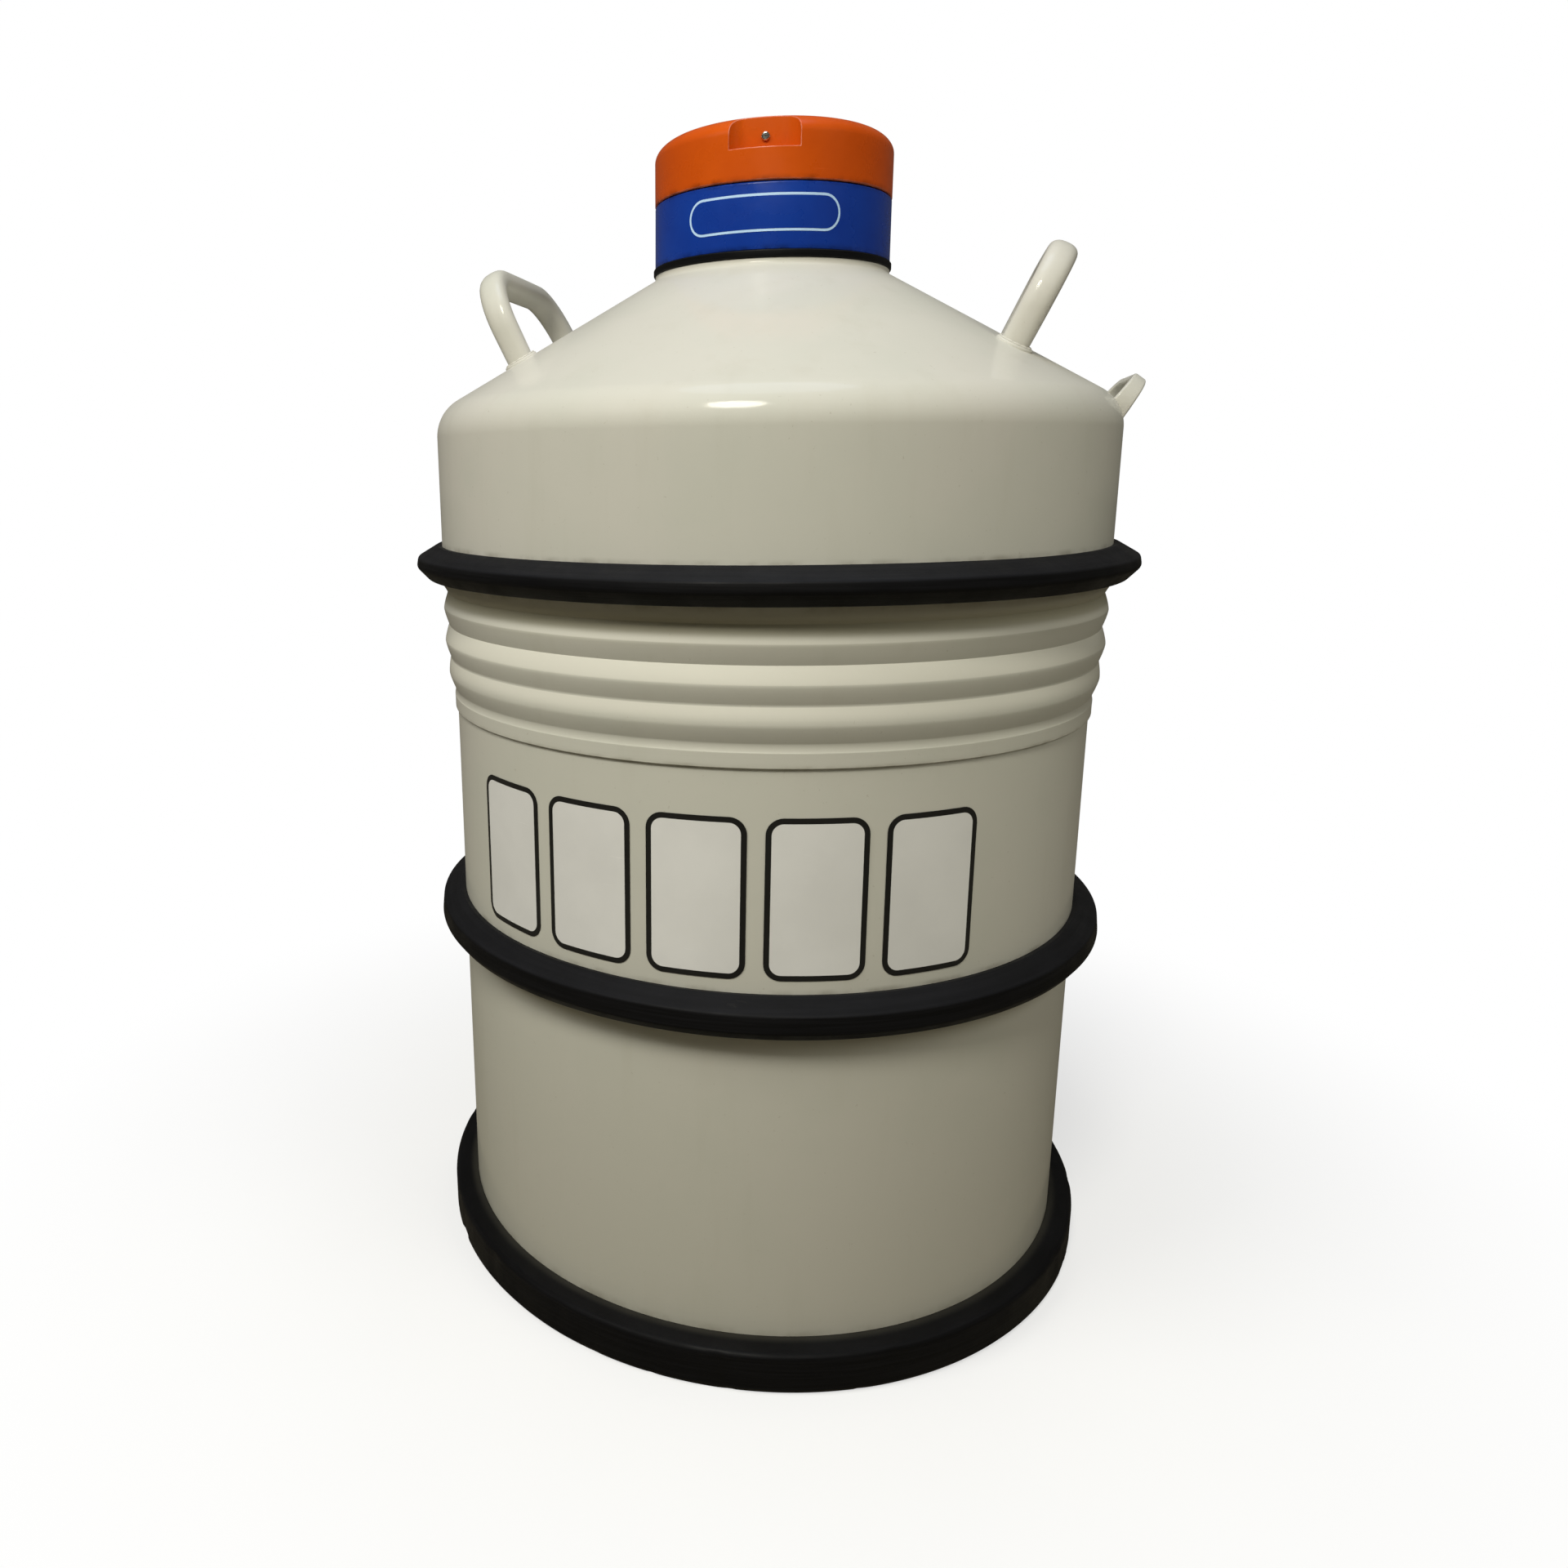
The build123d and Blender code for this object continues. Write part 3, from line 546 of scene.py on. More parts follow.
# grime at the sleeve's foot, and painted shadow from the cap's overhang at its top
SLEEVE_DIRT_AND_SHADOW = (low("neck_sleeve"), CAP_LOW)
BLUE = moulded("sleeve_blue", (0.004, 0.031, 0.255), (0.006, 0.043, 0.310), 0.26, SLEEVE_DIRT_AND_SHADOW)
WHITE = moulded("white_plastic", (0.66, 0.66, 0.62), (0.74, 0.74, 0.71), 0.45)
BLACK = moulded("black_plastic", (0.012, 0.012, 0.013), (0.022, 0.022, 0.024), 0.5)
GRIP = moulded("grip_plastic", (0.03, 0.03, 0.032), (0.05, 0.05, 0.055), 0.5)
VINYL_BLACK = moulded("vinyl_black", (0.006, 0.006, 0.006), (0.010, 0.010, 0.010), 0.35)
VINYL_WHITE = moulded("vinyl_white", (0.68, 0.68, 0.67), (0.74, 0.74, 0.73), 0.40)
PALE_BLUE = moulded("print_pale_blue", (0.44, 0.64, 0.90), (0.52, 0.72, 0.95), 0.40)
ALUMINIUM = bare_metal("turned_aluminium", (0.76, 0.77, 0.79))
STAINLESS = bare_metal("drawn_stainless", (0.62, 0.62, 0.63), 0.25, (40, 40, 0.5))
PLATED = bare_metal("plated_screw", (0.72, 0.71, 0.68), 0.24)
LAMINATE = laminate("glass_laminate")
FOAM = foam("rigid_foam")
FOIL = foil("foil_blanket")
CLOTH = cloth("glass_cloth")

SLOT_MATERIALS = {
    "body_paint": PAINT,
    "black_rubber": RUBBER,
    "bare_aluminium": ALUMINIUM,
    "blue_plastic": BLUE,
    "orange_plastic": ORANGE,
    "neck_laminate": LAMINATE,
    "white_plastic": WHITE,
    "foil_blanket": FOIL,
    "adsorbent_cloth": CLOTH,
    "foam": FOAM,
    "plated_steel": PLATED,
    "canister_steel": STAINLESS,
    "grip_plastic": GRIP,
    "black_plastic": BLACK,
}


def paint_cad_nodes():
    """Every CAD node that stays gets its slot's procedural material."""
    slots = {s["node"]: s["material_slot"] for s in frame["record"]["subparts"]}
    for name, node in frame["nodes"].items():
        node.data.materials.clear()
        node.data.materials.append(SLOT_MATERIALS[slots[name]])


# ---------------------------------------------------------------- outer shell
def upper_skin(inset):
    """Outline of the upper shell's skin from the lap to the neck lip, moved into the metal by inset."""
    valleys = [
        (LOWER_R + 0.9, LAP_TOP),
        (VALLEY_R - 0.2, LAP_TOP + BEAD_PITCH),
        (VALLEY_R, LAP_TOP + 2 * BEAD_PITCH),
        (VALLEY_R, TOP_VALLEY_Z),
    ]
    valleys = [(r - inset, z) for r, z in valleys]
    points = []
    for a, b, height in zip(valleys, valleys[1:], BEAD_HEIGHTS):
        points += bead_points(a, b, height)
    points.append(valleys[-1])
    wall_r = UPPER_R - inset
    wall_foot = TOP_VALLEY_Z + 4
    points += [(wall_r, wall_foot + (SHOULDER_Z - wall_foot) * i / 8) for i in range(8)]
    centre = (SHOULDER_CENTRE_R, SHOULDER_Z)
    points += arc_points(centre, SHOULDER_R - inset, 0, 90 - CONE_DEGREES, 24)
    lip_r = NECK_R - inset
    fillet = NECK_FILLET + inset
    edge_r, edge_z = points[-1]
    centre_r = lip_r + fillet
    centre_z = edge_z + (edge_r - centre_r) * tan(SLOPE) + fillet / cos(SLOPE)
    neck = arc_points((centre_r, centre_z), fillet, 270 - CONE_DEGREES, 180, 6)
    steps = 16
    points += [
        (edge_r + (neck[0][0] - edge_r) * i / steps, edge_z + (neck[0][1] - edge_z) * i / steps)
        for i in range(1, steps)
    ]
    return points + neck + [(lip_r, LIP_Z)]


def soft_waves(amount, scale):
    """A gentle unevenness of rolled sheet, in millimetres."""
    def ripple(r, z, turn):
        place = Vector((cos(turn), sin(turn), z * MM * 5)) * scale
        return r - amount * (0.5 + 0.5 * noise.noise(place)), z
    return ripple


def upper_shell():
    """The upper half, with the skirt that laps over the lower half."""
    skirt = rounded([
        (LOWER_R + 0.05, SEAM_Z + 10, 0),
        (LOWER_R + 0.05, SEAM_Z, 0),
        (LOWER_R + 1.4, SEAM_Z, 0.5),
        (LOWER_R + 1.4, SEAM_Z + 5, 0.5),
        (LOWER_R + 1.5, SEAM_Z + 8, 1.2),
    ])
    inside = list(reversed(upper_skin(WALL)))
    outline = skirt + upper_skin(0) + inside + [(LOWER_R + 0.9 - WALL, SEAM_Z + 10)]
    points, faces = lathe(outline, ROUND, soft_waves(0.25, 2.0))
    piece = add_mesh("painted_upper_shell", points, faces, "vessel", PAINT)
    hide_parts("outer_shell_upper")


def lower_shell():
    """The lower half: a wall, a rounded foot and a bottom dished upward."""
    foot = low("outer_shell_lower")
    centre = (LOWER_R - BASE_CORNER_R, foot + BASE_CORNER_R)
    radius = (BASE_FLAT_R**2 + DISH_RISE**2) / (2 * DISH_RISE)
    dish_r = [BASE_FLAT_R * i / 10 for i in range(11)]

    def dish_z(r, lift):
        return foot + lift + DISH_RISE - radius + (radius**2 - r**2) ** 0.5

    top = SEAM_Z + 9.5
    steps = 40
    wall_z = [centre[1] + (top - centre[1]) * i / steps for i in range(1, steps + 1)]
    outline = [(r, dish_z(r, 0)) for r in dish_r]
    outline += arc_points(centre, BASE_CORNER_R, -90, 0, 8)
    outline += [(LOWER_R, z) for z in wall_z]
    outline += [(LOWER_R - WALL, z) for z in reversed(wall_z)]
    outline += arc_points(centre, BASE_CORNER_R - WALL, 0, -90, 8)
    outline += [(r, dish_z(r, WALL)) for r in reversed(dish_r)]
    points, faces = lathe(outline, ROUND, soft_waves(0.3, 1.6))
    piece = add_mesh("painted_lower_shell", points, faces, "vessel", LOWER_PAINT)
    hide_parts("outer_shell_lower")


# ---------------------------------------------------------------- rubber
def uneven(amount, scale, seed):
    """Rubber that sits a little unevenly: the edges wander up and down and in and out."""
    def ripple(r, z, turn):
        place = Vector((cos(turn) * scale, sin(turn) * scale, seed))
        wander = amount * noise.noise(place)
        return r - abs(wander) * 0.6, z + wander
    return ripple


def upper_bumper():
    """A band with a nearly flat underside and a long slope from its top down to its lip."""
    base = low("upper_bumper")
    top = high("upper_bumper")
    tip = reach("upper_bumper")
    outline = rounded([
        (UPPER_R, base + 0.3, 0),
        (tip - 6.5, base + 1.4, 2.0),
        (tip, base + 8.2, 3.2),
        (tip - 1.0, base + 13.5, 2.6),
        (UPPER_R + 3.2, top, 1.2),
        (UPPER_R, top - 0.4, 0),
    ])
    points, faces = lathe(outline, ROUND, uneven(0.35, 1.4, 3.0))
    piece = add_mesh("bumper_upper", points, faces, "vessel", RUBBER)
    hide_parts("upper_bumper")


def middle_bumper():
    """A blunter band round the lower wall."""
    base = low("middle_bumper")
    top = high("middle_bumper")
    tip = reach("middle_bumper")
    outline = rounded([
        (LOWER_R, base + 0.3, 0),
        (tip - 3.6, base + 0.3, 1.6),
        (tip - 0.1, base + 5.0, 2.2),
        (tip - 1.1, base + 14.4, 2.2),
        (LOWER_R + 2.6, top, 1.2),
        (LOWER_R, top - 0.4, 0),
    ])
    points, faces = lathe(outline, ROUND, uneven(0.3, 1.5, 8.0))
    piece = add_mesh("bumper_middle", points, faces, "vessel", RUBBER)
    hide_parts("middle_bumper")


def base_ring():
    """The boot under the wall's foot, its outside a little nicked and worn."""
    top = high("base_ring")
    outer = reach("base_ring")
    foot = low("outer_shell_lower")
    outline = rounded([
        (BASE_FLAT_R, 0.0, 0.8),
        (outer - 2.5, 0.0, 1.5),
        (outer, 3.5, 2.0),
        (outer, top - 0.7, 3.4),
        (LOWER_R + 3.0, top - 0.1, 0.5),
        (LOWER_R, top, 0),
        (LOWER_R, foot, 0),
        (BASE_FLAT_R, foot, 0.8),
    ])

    def worn(r, z, turn):
        if r < LOWER_R + 3:
            return r, z
        place = Vector((cos(turn) * 9, sin(turn) * 9, z * 0.12))
        nick = max(0.0, noise.fractal(place, 1.0, 2.0, 4) - 0.28)
        slow = 0.5 + 0.5 * noise.noise(Vector((cos(turn) * 1.7, sin(turn) * 1.7, 5.0)))
        inward = min(2.0, 3.5 * nick * slow)
        return r - inward, z

    points, faces = lathe(outline, 2 * ROUND, worn)
    piece = add_mesh("base_boot", points, faces, "vessel", BASE_RUBBER)
    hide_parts("base_ring")


# ---------------------------------------------------------------- neck
def neck_gasket():
    base = low("neck_gasket")
    top = high("neck_gasket")
    outer = reach("neck_gasket")
    outline = rounded([
        (COLLAR_R, base, 0),
        (outer, base + 0.1, 1.2),
        (outer, top, 0.8),
        (COLLAR_R, top, 0),
    ])
    points, faces = lathe(outline, ROUND, uneven(0.15, 1.5, 2.0))
    piece = add_mesh("neck_rubber_ring", points, faces, "vessel", RUBBER)
    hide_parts("neck_gasket")


def neck_sleeve():
    """The blue sleeve over the collar, with a ledge that the cap rests over and a spigot inside it."""
    base = low("neck_sleeve")
    spigot = high("neck_sleeve")
    ledge = CAP_LOW - 0.5
    gap = 0.05
    outline = rounded([
        (COLLAR_R + gap, base, 0),
        (CAP_R, base, 0.5),
        (CAP_R - 0.15, ledge, 1.1),
        (SPIGOT_R, ledge, 0.3),
        (SPIGOT_R, spigot, 0.8),
        (MOUTH_R, spigot, 0.8),
        (MOUTH_R, COLLAR_TOP + gap, 0),
        (COLLAR_R + gap, COLLAR_TOP + gap, 0),
    ])
    points, faces = lathe(outline, ROUND)
    piece = add_mesh("blue_neck_sleeve", points, faces, "vessel", BLUE)
    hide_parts("neck_sleeve")


# ---------------------------------------------------------------- cap
def rounded_block(half_width, back, front, base, top, corner):
    """An upright block from y = front to y = back whose two back corners are rounded."""
    plan = rounded([
        (-half_width, front, 0),
        (half_width, front, 0),
        (half_width, back, corner),
        (-half_width, back, corner),
    ], 12)
    count = len(plan)
    points = [(x, y, z) for z in (base, top) for x, y in plan]
    faces = [tuple(reversed(range(count))), tuple(range(count, 2 * count))]
    faces += [(i, (i + 1) % count, (i + 1) % count + count, i + count) for i in range(count)]
    return points, faces


def cutter(points, faces):
    """A solid to cut away with; cut_away drops it again."""
    mesh = bpy.data.meshes.new("cutter")
    mesh.from_pydata([Vector(p) * MM for p in points], [], faces)
    solid = bpy.data.objects.new("cutter", mesh)
    bpy.context.scene.collection.objects.link(solid)
    return solid


def cut_away(piece, tool):
    """Cuts a solid out of a piece for good and drops the solid."""
    step = piece.modifiers.new("cut", "BOOLEAN")
    step.operation = "DIFFERENCE"
    step.solver = "EXACT"
    step.object = tool
    bpy.context.view_layer.update()
    evaluated = piece.evaluated_get(bpy.context.evaluated_depsgraph_get())
    result = bpy.data.meshes.new_from_object(evaluated)
    piece.modifiers.clear()
    old = piece.data
    piece.data = result
    bpy.data.meshes.remove(old)
    bpy.data.meshes.remove(tool.data)
    result.polygons.foreach_set("use_smooth", [True] * len(result.polygons))
    result.set_sharp_from_angle(angle=radians(30))


def cap_skin(inset):
    """Outline of the cap from the axis at its open end, up the side and over the crown to the axis."""
    side = CAP_SIDE_TOP
    crown_r = CAP_CROWN_R - inset * 0.25
    crown_z = CAP_CROWN_Z - inset
    edge = CAP_R - inset
    rise = CAP_HIGH - inset - crown_z
    crown_radius = (crown_r**2 + rise**2) / (2 * rise)
    points = [(0, CAP_LOW), (edge - 0.5, CAP_LOW), (edge, CAP_LOW + 0.6)]
    if inset:
        points = [(0, CAP_LOW - 1), (edge, CAP_LOW - 1)]
    points += [(edge, CAP_LOW + (side - CAP_LOW) * i / 4) for i in range(1, 4)]
    edge_steps = 18
    for i in range(edge_steps + 1):
        t = pi / 2 * i / edge_steps
        points.append((crown_r + (edge - crown_r) * cos(t), side + (crown_z - side) * sin(t)))
    crown_steps = 13
    for i in range(1, crown_steps):
        r = crown_r * (1 - i / crown_steps)
        points.append((r, crown_z + rise - crown_radius + (crown_radius**2 - r**2) ** 0.5))
    return points + [(0, crown_z + rise)]


def recess_block(margin):
    """The block that is taken out of the cap's front, grown by margin at its sides, back and floor."""
    past_front = -CAP_R - 21.5
    past_top = CAP_HIGH + 25
    return rounded_block(
        RECESS_HALF_WIDTH + margin,
        RECESS_BACK + margin,
        past_front,
        RECESS_FLOOR - margin,
        past_top,
        RECESS_CORNER_R + margin,
    )


def cap_shell():
    """The orange cap: straight side, rounded edge, shallow crown, and the recess in its front."""
    points, faces = lathe(cap_skin(0))
    piece = add_mesh("orange_cap", points, faces, "cap", ORANGE, 30)
    hollow = cutter(*lathe(cap_skin(CAP_WALL)))
    cut_away(hollow, cutter(*recess_block(CAP_WALL)))
    cut_away(piece, hollow)
    cut_away(piece, cutter(*recess_block(0)))
    piece.data.transform(Matrix.Rotation(CAP_TURN, 4, "Z"))
    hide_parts("cap_shell")


def degrees_for(length, radius):
    """The angle that a length takes up on a cylinder."""
    return length / radius * 180 / pi


def label_tile(name, radius, lift, span, heights, corner, slot, material):
    """A thin rounded tile wrapped on a cylinder of the vessel, its face out by lift.

    span is its two sides, in degrees from the front; heights is its bottom and top.
    """
    back_gap = 0.03
    start, end = span
    base, top = heights
    width = radians(end - start) * radius
    columns = 8
    across = [corner * (1 - cos(pi / 2 * i / columns)) for i in range(columns + 1)]
    middle = max(6, int(width / 4))
    across += [corner + (width - 2 * corner) * i / middle for i in range(1, middle)]
    across += [width - c for c in reversed(across[: columns + 1])]
    points = []
    faces = []
    for x in across:
        inset = max(0.0, corner - x, x - (width - corner))
        cut = corner - (max(0.0, corner**2 - inset**2)) ** 0.5
        turn = radians(FRONT + start) + x / radius
        for r in (radius + lift, radius + back_gap):
            for z in (base + cut, top - cut):
                points.append((r * cos(turn), r * sin(turn), z))
    last = len(across) - 1
    for i in range(last):
        a = 4 * i
        b = a + 4
        faces += [(a, b, b + 1, a + 1), (a + 2, a + 3, b + 3, b + 2)]
        faces += [(a + 2, b + 2, b, a), (a + 1, b + 1, b + 3, a + 3)]
    end_column = 4 * last
    faces += [(0, 1, 3, 2), (end_column, end_column + 2, end_column + 3, end_column + 1)]
    add_mesh(name, points, faces, "vessel", material, 30)


def outlined_tile(names, radius, lifts, span, heights, corner, line, looks):
    """A tile with a second one on it that leaves a line of the first showing all round.

    names, lifts and looks, a slot and its material, are given for the lower tile and then the upper one.
    The slot is not used.
    """
    border = degrees_for(line, radius)
    inner_span = (span[0] + border, span[1] - border)
    inner_heights = (heights[0] + line, heights[1] - line)
    label_tile(names[0], radius, lifts[0], span, heights, corner, *looks[0])
    label_tile(names[1], radius, lifts[1], inner_span, inner_heights, corner - line, *looks[1])


def body_label():
    """Five blank identification tiles in a row: black outlines round blank white fields."""
    tiles = 5
    pitch = 17.9
    first = -46.0
    gap = degrees_for(9.0, LOWER_R)
    heights = (236.0, 322.0)
    corner = 9.0
    line = 3.0
    looks = (("black_rubber", VINYL_BLACK), ("white_plastic", VINYL_WHITE))
    for number in range(1, tiles + 1):
        names = (f"panel_frame_{number}", f"panel_field_{number}")
        start = first + (number - 1) * pitch
        span = (start, start + pitch - gap)
        outlined_tile(names, LOWER_R, (0.16, 0.28), span, heights, corner, line, looks)


def neck_label():
    """A plain pale outline in place of a name on the sleeve."""
    names = ("sleeve_outline", "sleeve_field")
    span = (-34, 39)
    heights = (611.5, 630.5)
    corner = 9.4
    line = 1.3
    looks = (("white_plastic", PALE_BLUE), ("blue_plastic", BLUE))
    outlined_tile(names, CAP_R, (0.12, 0.22), span, heights, corner, line, looks)


# ---------------------------------------------------------------- handles
def handle_axes(side, lean):
    """The directions of a handle's plane: along the loop, up the lean, and across the plane."""
    along = Vector((0, 1, 0))
    up = Vector((side * sin(lean), 0, cos(lean)))
    return along, up, Vector((cos(lean), 0, -side * sin(lean)))


def loop_path(corners, rounding):
    """Points about 2 mm apart on an open path through 2-D corners, with rounded bends."""
    step = 2.0
    shape = [corners[0]]
    for before, at, after in zip(corners, corners[1:], corners[2:]):
        bend = rounded([(*before, 0), (*at, rounding), (*after, 0)], 12)
        shape += bend[1:-1]
    shape.append(corners[-1])
    dense = []
    for a, b in zip(shape, shape[1:]):
        pieces = max(1, int((Vector(b) - Vector(a)).length / step))
        dense += [Vector(a).lerp(Vector(b), i / pieces) for i in range(pieces)]
    dense.append(Vector(shape[-1]))
    return dense


def swept_loop(name, origin, axes, corners, rounding, section):
    """A painted bar bent along a loop in a plane; its section's first direction runs across the plane."""
    along, up, across = axes
    flat = loop_path(corners, rounding)
    path = []
    frames = []
    for i, point in enumerate(flat):
        ahead = flat[min(i + 1, len(flat) - 1)] - flat[max(i - 1, 0)]
        normal = Vector((-ahead.y, ahead.x)).normalized()
        path.append(origin + along * point.x + up * point.y)
        frames.append((across, along * normal.x + up * normal.y))
    points, faces = tube(path, frames, lambda i: section(i, len(flat)))
    return add_mesh(name, points, faces, "vessel", HANDLE_PAINT, 50)


def handle_corners():
    """The loop's corners in its own plane, its feet sunk into the dome by HANDLE_ROOT."""
    flare = (HANDLE_FOOT - HANDLE_TOP) / HANDLE_RISE
    root = HANDLE_FOOT + flare * HANDLE_ROOT
    left = [(-root, -HANDLE_ROOT), (-HANDLE_TOP, HANDLE_RISE)]
    return left + [(-x, y) for x, y in reversed(left)]


def bar_section(i, count):
    """A flattened round section, fullest across the top and a little slimmer at the feet."""
    corners = 36
    power = 2.5
    t = i / (count - 1)
    slim = 0.88 + 0.12 * sin(pi * t) ** 0.8
    shape = []
    for k in range(corners):
        turn = 2 * pi * k / corners
        squarish = (abs(cos(turn)) ** power + abs(sin(turn)) ** power) ** (-1 / power)
        shape.append((HANDLE_WIDE * slim * squarish * cos(turn), HANDLE_THICK * slim * squarish * sin(turn)))
    return shape


def foot_ring(origin, direction, across, margin, lift):
    """A closed line round an oval leg, margin out from it and lift above the dome, with its outward ways."""
    count = 64
    closing_steps = 14
    side = direction.cross(across)
    ring = []
    for k in range(count):
        turn = 2 * pi * k / count
        way = (across * cos(turn) + side * sin(turn)).normalized()
        wide = (HANDLE_WIDE + margin) * cos(turn)
        thick = (HANDLE_THICK + margin) * sin(turn)
        start = origin + across * wide + side * thick
        travel = 0.0
        for _ in range(closing_steps):
            spot = start + direction * travel
            gap = spot.z - skin_height(hypot(spot.x, spot.y)) - lift
            travel -= gap / max(0.4, direction.z)
        ring.append((start + direction * travel, way))
    return ring


def foot_pad(name, origin, direction, across):
    """The low pad under a leg: a soft-edged oval plate that follows the dome.

    The profile is (margin round the leg, height over the dome).
    """
    profile = [(0.5, -1.5), (2.0, -1.5), (2.0, 0.7), (1.8, 1.2), (1.2, 1.5), (0.5, 1.6), (-1.5, 1.6)]
    points = []
    faces = []
    for margin, lift in profile:
        points += [tuple(spot) for spot, _ in foot_ring(origin, direction, across, margin, lift)]
    count = len(points) // len(profile)
    for row in range(len(profile)):
        here = row * count
        there = (row + 1) % len(profile) * count
        for k in range(count):
            n = (k + 1) % count
            faces.append((here + k, here + n, there + n, there + k))
    return add_mesh(name, points, faces, "vessel", HANDLE_PAINT, 50)


def weld_bead(name, ring, size):
    """A rippled weld fillet along a closed line on the dome."""
    ripples = 12
    path = [spot for spot, _ in ring]
    frames = [(outward, Vector((0, 0, 1))) for _, outward in ring]

    def section(i):
        wave = sin(i * 2 * pi / len(ring) * ripples)
        uneven_part = noise.noise(Vector((i * 0.7, len(name), 0)))
        ripple = 1 + 0.16 * wave + 0.12 * uneven_part
        return ellipse(size * ripple, size * 0.8 * ripple, 10)

    points, faces = tube(path, frames, section, True)
    return add_mesh(name, points, faces, "vessel", HANDLE_PAINT, 60)


def carrying_handle(name, side):
    """A leaning loop with a pad and a weld bead at each foot; side is -1 or 1 along X."""
    origin = Vector((side * HANDLE_R, 0, cone_height(hypot(HANDLE_R, HANDLE_FOOT))))
    axes = handle_axes(side, HANDLE_LEAN)
    corners = handle_corners()
    bar = swept_loop(name + "_grip_bar", origin, axes, corners, HANDLE_CORNER, bar_section)
    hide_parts(name + "_handle")
    along, up, across = axes
    for number, (start, end) in enumerate((corners[:2], corners[:1:-1]), start=1):
        low_end = origin + along * start[0] + up * start[1]
        direction = (along * (end[0] - start[0]) + up * (end[1] - start[1])).normalized()
        pad = foot_pad(f"{name}_foot_pad_{number}", low_end, direction, across)
        if number == 1:
            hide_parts(name + "_handle_lugs")
        weld_bead(f"{name}_foot_weld_{number}", foot_ring(low_end, direction, across, 0.1, 1.6), 1.0)


def tilting_handle():
    """A small strap handle on the shoulder, wide at its feet and narrow at the top."""
    half = TILTING_HALF
    corners = [(-half, -TILTING_ROOT), (-half, TILTING_RISE), (half, TILTING_RISE), (half, -TILTING_ROOT)]
    origin = Vector((TILTING_R, 0, TILTING_Z))
    axes = handle_axes(1, TILTING_LEAN)

    def strap(i, count):
        middle = 1 - abs(2 * i / (count - 1) - 1)
        wide = 5.8 - 2.4 * min(1.0, middle * 1.6)
        thick = 2.2
        edge = 1.2
        below = [(-wide, -thick, edge), (wide, -thick, edge)]
        above = [(wide, thick, edge), (-wide, thick, edge)]
        return rounded(below + above, 4)

    bar = swept_loop("tilting_grip_strap", origin, axes, corners, TILTING_CORNER, strap)
    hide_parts("tilting_handle")


# ---------------------------------------------------------------- stage
def floor_and_backdrop():
    """A wide pale floor that fades to white; to everything but the camera it is a duller grey."""
    m = Recipe("pale_floor")
    tone = m.mix(m.range(m.noise(3.0, 3), 0.3, 0.7), (0.86, 0.86, 0.86), (0.89, 0.89, 0.89))
    m.set(Base_Color=tone, Roughness=0.8, Specular_IOR_Level=0.1)
    white = m.tree.nodes.new("ShaderNodeEmission")
    dull = m.tree.nodes.new("ShaderNodeBsdfDiffuse")
    dull.inputs["Color"].default_value = (0.20, 0.18, 0.14, 1)
    faded = m.tree.nodes.new("ShaderNodeMixShader")
    m.feed(faded.inputs[0], m.range(m.from_axis(), 0.22, 0.62, 0.60, 1.0))
    m.link(m.shader.outputs[0], faded.inputs[1])
    m.link(white.outputs[0], faded.inputs[2])
    ray = m.tree.nodes.new("ShaderNodeLightPath")
    pick = m.tree.nodes.new("ShaderNodeMixShader")
    m.link(ray.outputs["Is Camera Ray"], pick.inputs[0])
    m.link(dull.outputs[0], pick.inputs[1])
    m.link(faded.outputs[0], pick.inputs[2])
    m.link(pick.outputs[0], m.tree.nodes["Material Output"].inputs["Surface"])
    half = 14.0
    mesh = bpy.data.meshes.new("floor")
    corners = [(-half, -half, 0), (half, -half, 0), (half, half, 0), (-half, half, 0)]
    mesh.from_pydata(corners, [], [(0, 1, 2, 3)])
    floor = bpy.data.objects.new("floor", mesh)
    bpy.context.scene.collection.objects.link(floor)
    mesh.materials.append(m.material)


def area_light(name, azimuth, elevation, distance, size, power, colour=(1, 1, 1), glossy=True):
    """A round soft light, sizes in metres, aimed at the middle; angles in degrees, the front is -90."""
    middle = Vector((0, 0, 0.42))
    turn = radians(azimuth)
    rise = radians(elevation)
    way = Vector((cos(turn) * cos(rise), sin(turn) * cos(rise), sin(rise)))
    data = bpy.data.lights.new(name, "AREA")
    data.shape = "DISK"
    data.size = size
    data.energy = power
    data.color = colour
    light = bpy.data.objects.new(name, data)
    light.location = middle + way * distance
    light.rotation_euler = (-way).to_track_quat("-Z", "Y").to_euler()
    light.visible_glossy = glossy
    bpy.context.scene.collection.objects.link(light)


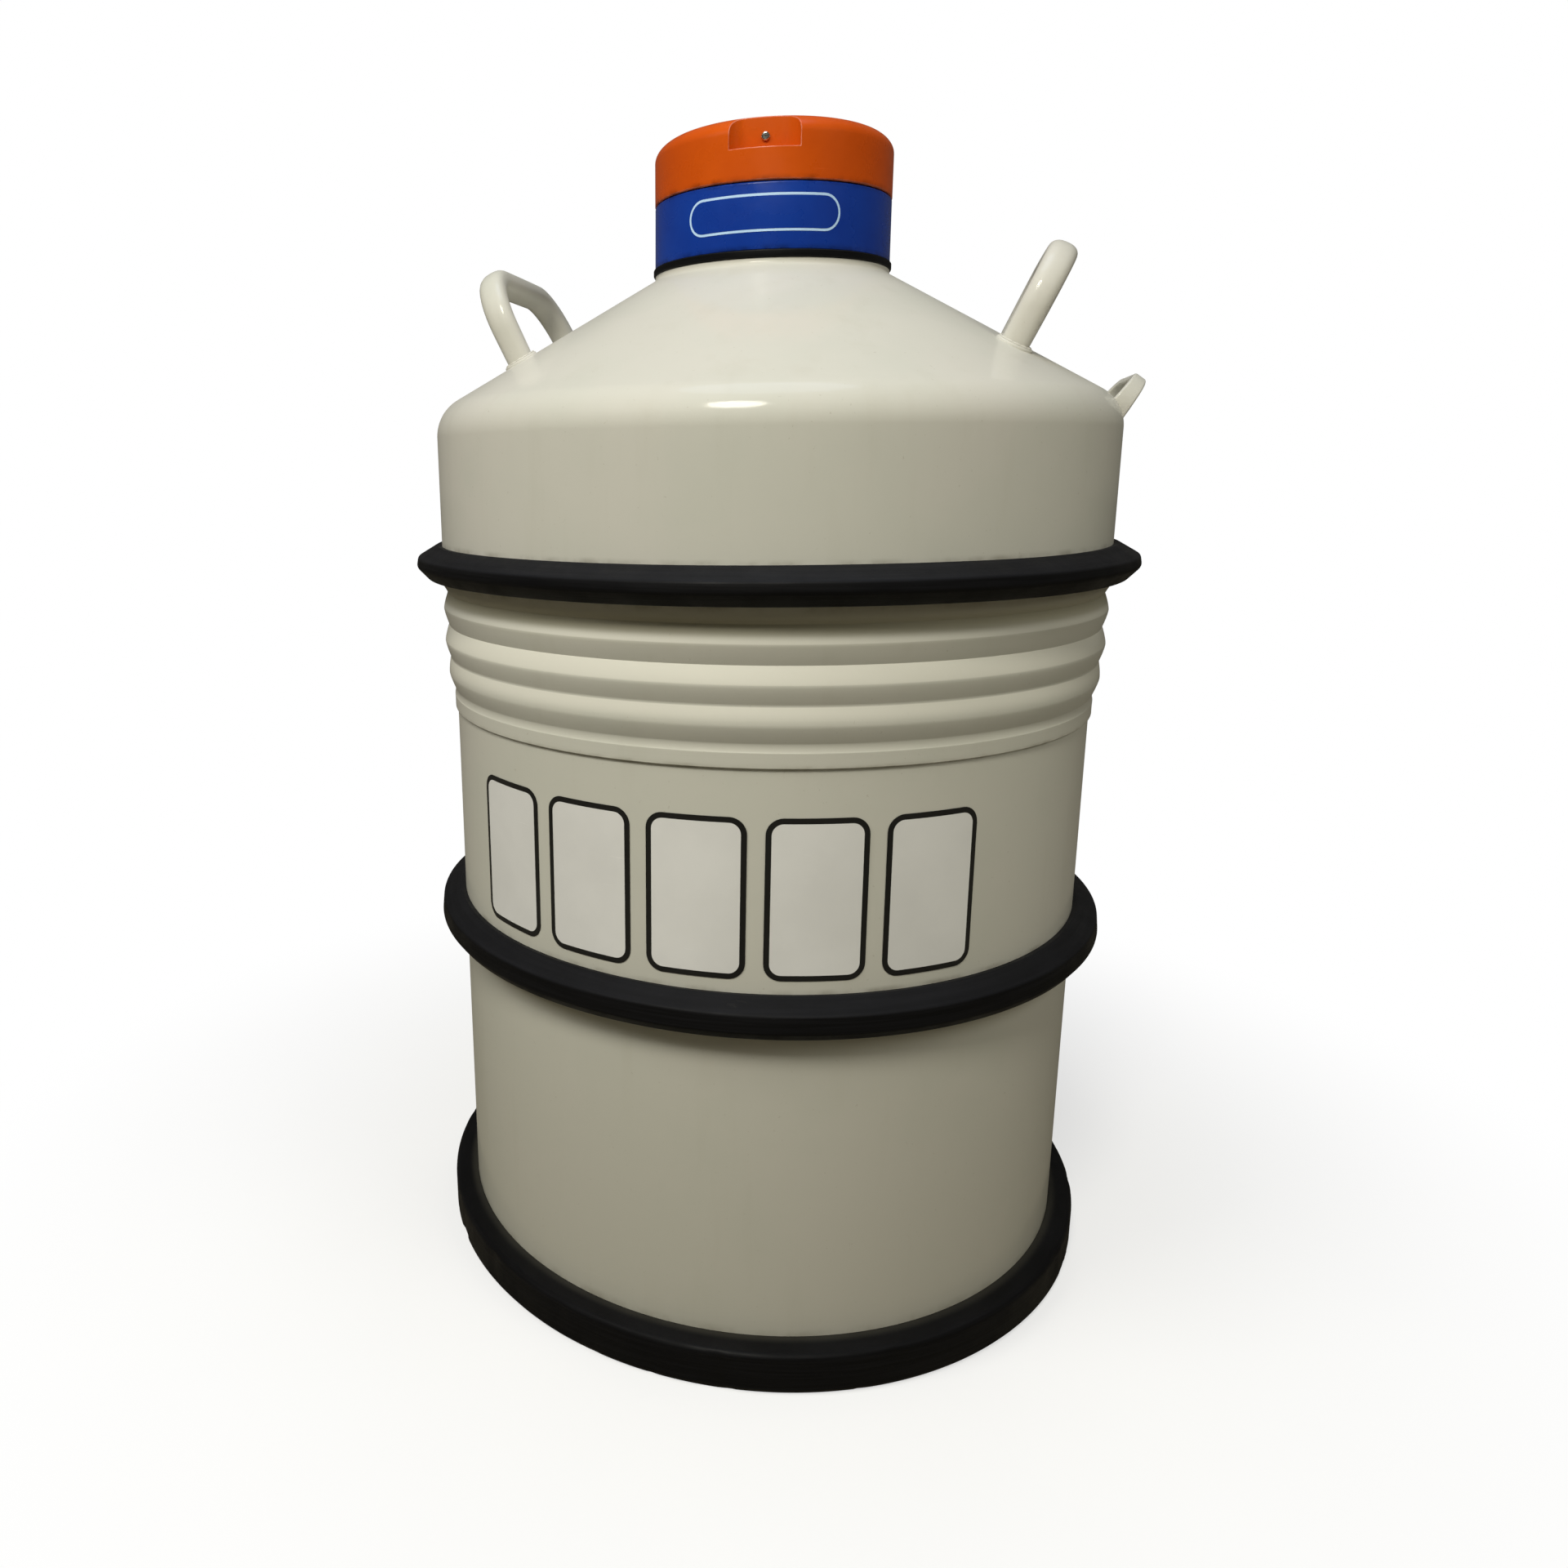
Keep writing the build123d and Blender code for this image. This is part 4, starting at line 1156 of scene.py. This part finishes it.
def lights():
    """Soft lights over a dim warm world that the camera sees as white."""
    world = bpy.data.worlds.new("studio")
    bpy.context.scene.world = world
    world.use_nodes = True
    tree = world.node_tree
    tree.nodes.clear()
    output = tree.nodes.new("ShaderNodeOutputWorld")
    seen = tree.nodes.new("ShaderNodeBackground")
    seen.inputs["Color"].default_value = (1, 1, 1, 1)
    glow = tree.nodes.new("ShaderNodeBackground")
    glow.inputs["Color"].default_value = (1.0, 0.95, 0.80, 1)
    glow.inputs["Strength"].default_value = 0.09
    ray = tree.nodes.new("ShaderNodeLightPath")
    pick = tree.nodes.new("ShaderNodeMixShader")
    tree.links.new(ray.outputs["Is Camera Ray"], pick.inputs[0])
    tree.links.new(glow.outputs[0], pick.inputs[1])
    tree.links.new(seen.outputs[0], pick.inputs[2])
    tree.links.new(pick.outputs[0], output.inputs[0])
    area_light("key", -95, 47, 2.1, 0.54, 24.5, (1.0, 0.97, 0.85))
    area_light("left_softbox", -140, 40, 2.4, 1.1, 27, (1.0, 0.98, 0.90), False)
    area_light("right_fill", -28, 34, 2.4, 1.4, 15, (1.0, 0.98, 0.86), False)
    area_light("overhead", -90, 86, 1.9, 1.1, 8, (0.62, 0.74, 1.0))
    area_light("back_fill", 80, 38, 2.6, 1.4, 9, (1.0, 0.98, 0.90), False)


def camera():
    """The camera stands a little right of the front and looks down; lengths are in metres."""
    azimuth = radians(FRONT + 7.0)
    distance = 0.7531
    height = 0.4915
    yaw = radians(14.43)
    pitch = radians(13.71)
    roll = radians(-0.71)
    data = bpy.data.cameras.new("camera")
    data.sensor_width = 36.0
    data.lens = 27.08
    data.shift_x = 0.1092
    data.shift_y = -0.0207
    data.clip_start = 0.01
    view = bpy.data.objects.new("camera", data)
    place = Matrix.Translation((distance * cos(azimuth), distance * sin(azimuth), height))
    aim = Matrix.Rotation(yaw, 4, "Z") @ Matrix.Rotation(pi / 2 - pitch, 4, "X")
    view.matrix_world = place @ aim @ Matrix.Rotation(roll, 4, "Z")
    bpy.context.scene.collection.objects.link(view)
    bpy.context.scene.camera = view


# ---------------------------------------------------------------- everything
paint_cad_nodes()
upper_shell()
lower_shell()
upper_bumper()
middle_bumper()
base_ring()
neck_gasket()
neck_sleeve()
cap_shell()
body_label()
neck_label()
carrying_handle("left", -1)
carrying_handle("right", 1)
tilting_handle()
floor_and_backdrop()
lights()
camera()
bpy.context.scene.view_settings.view_transform = "Standard"
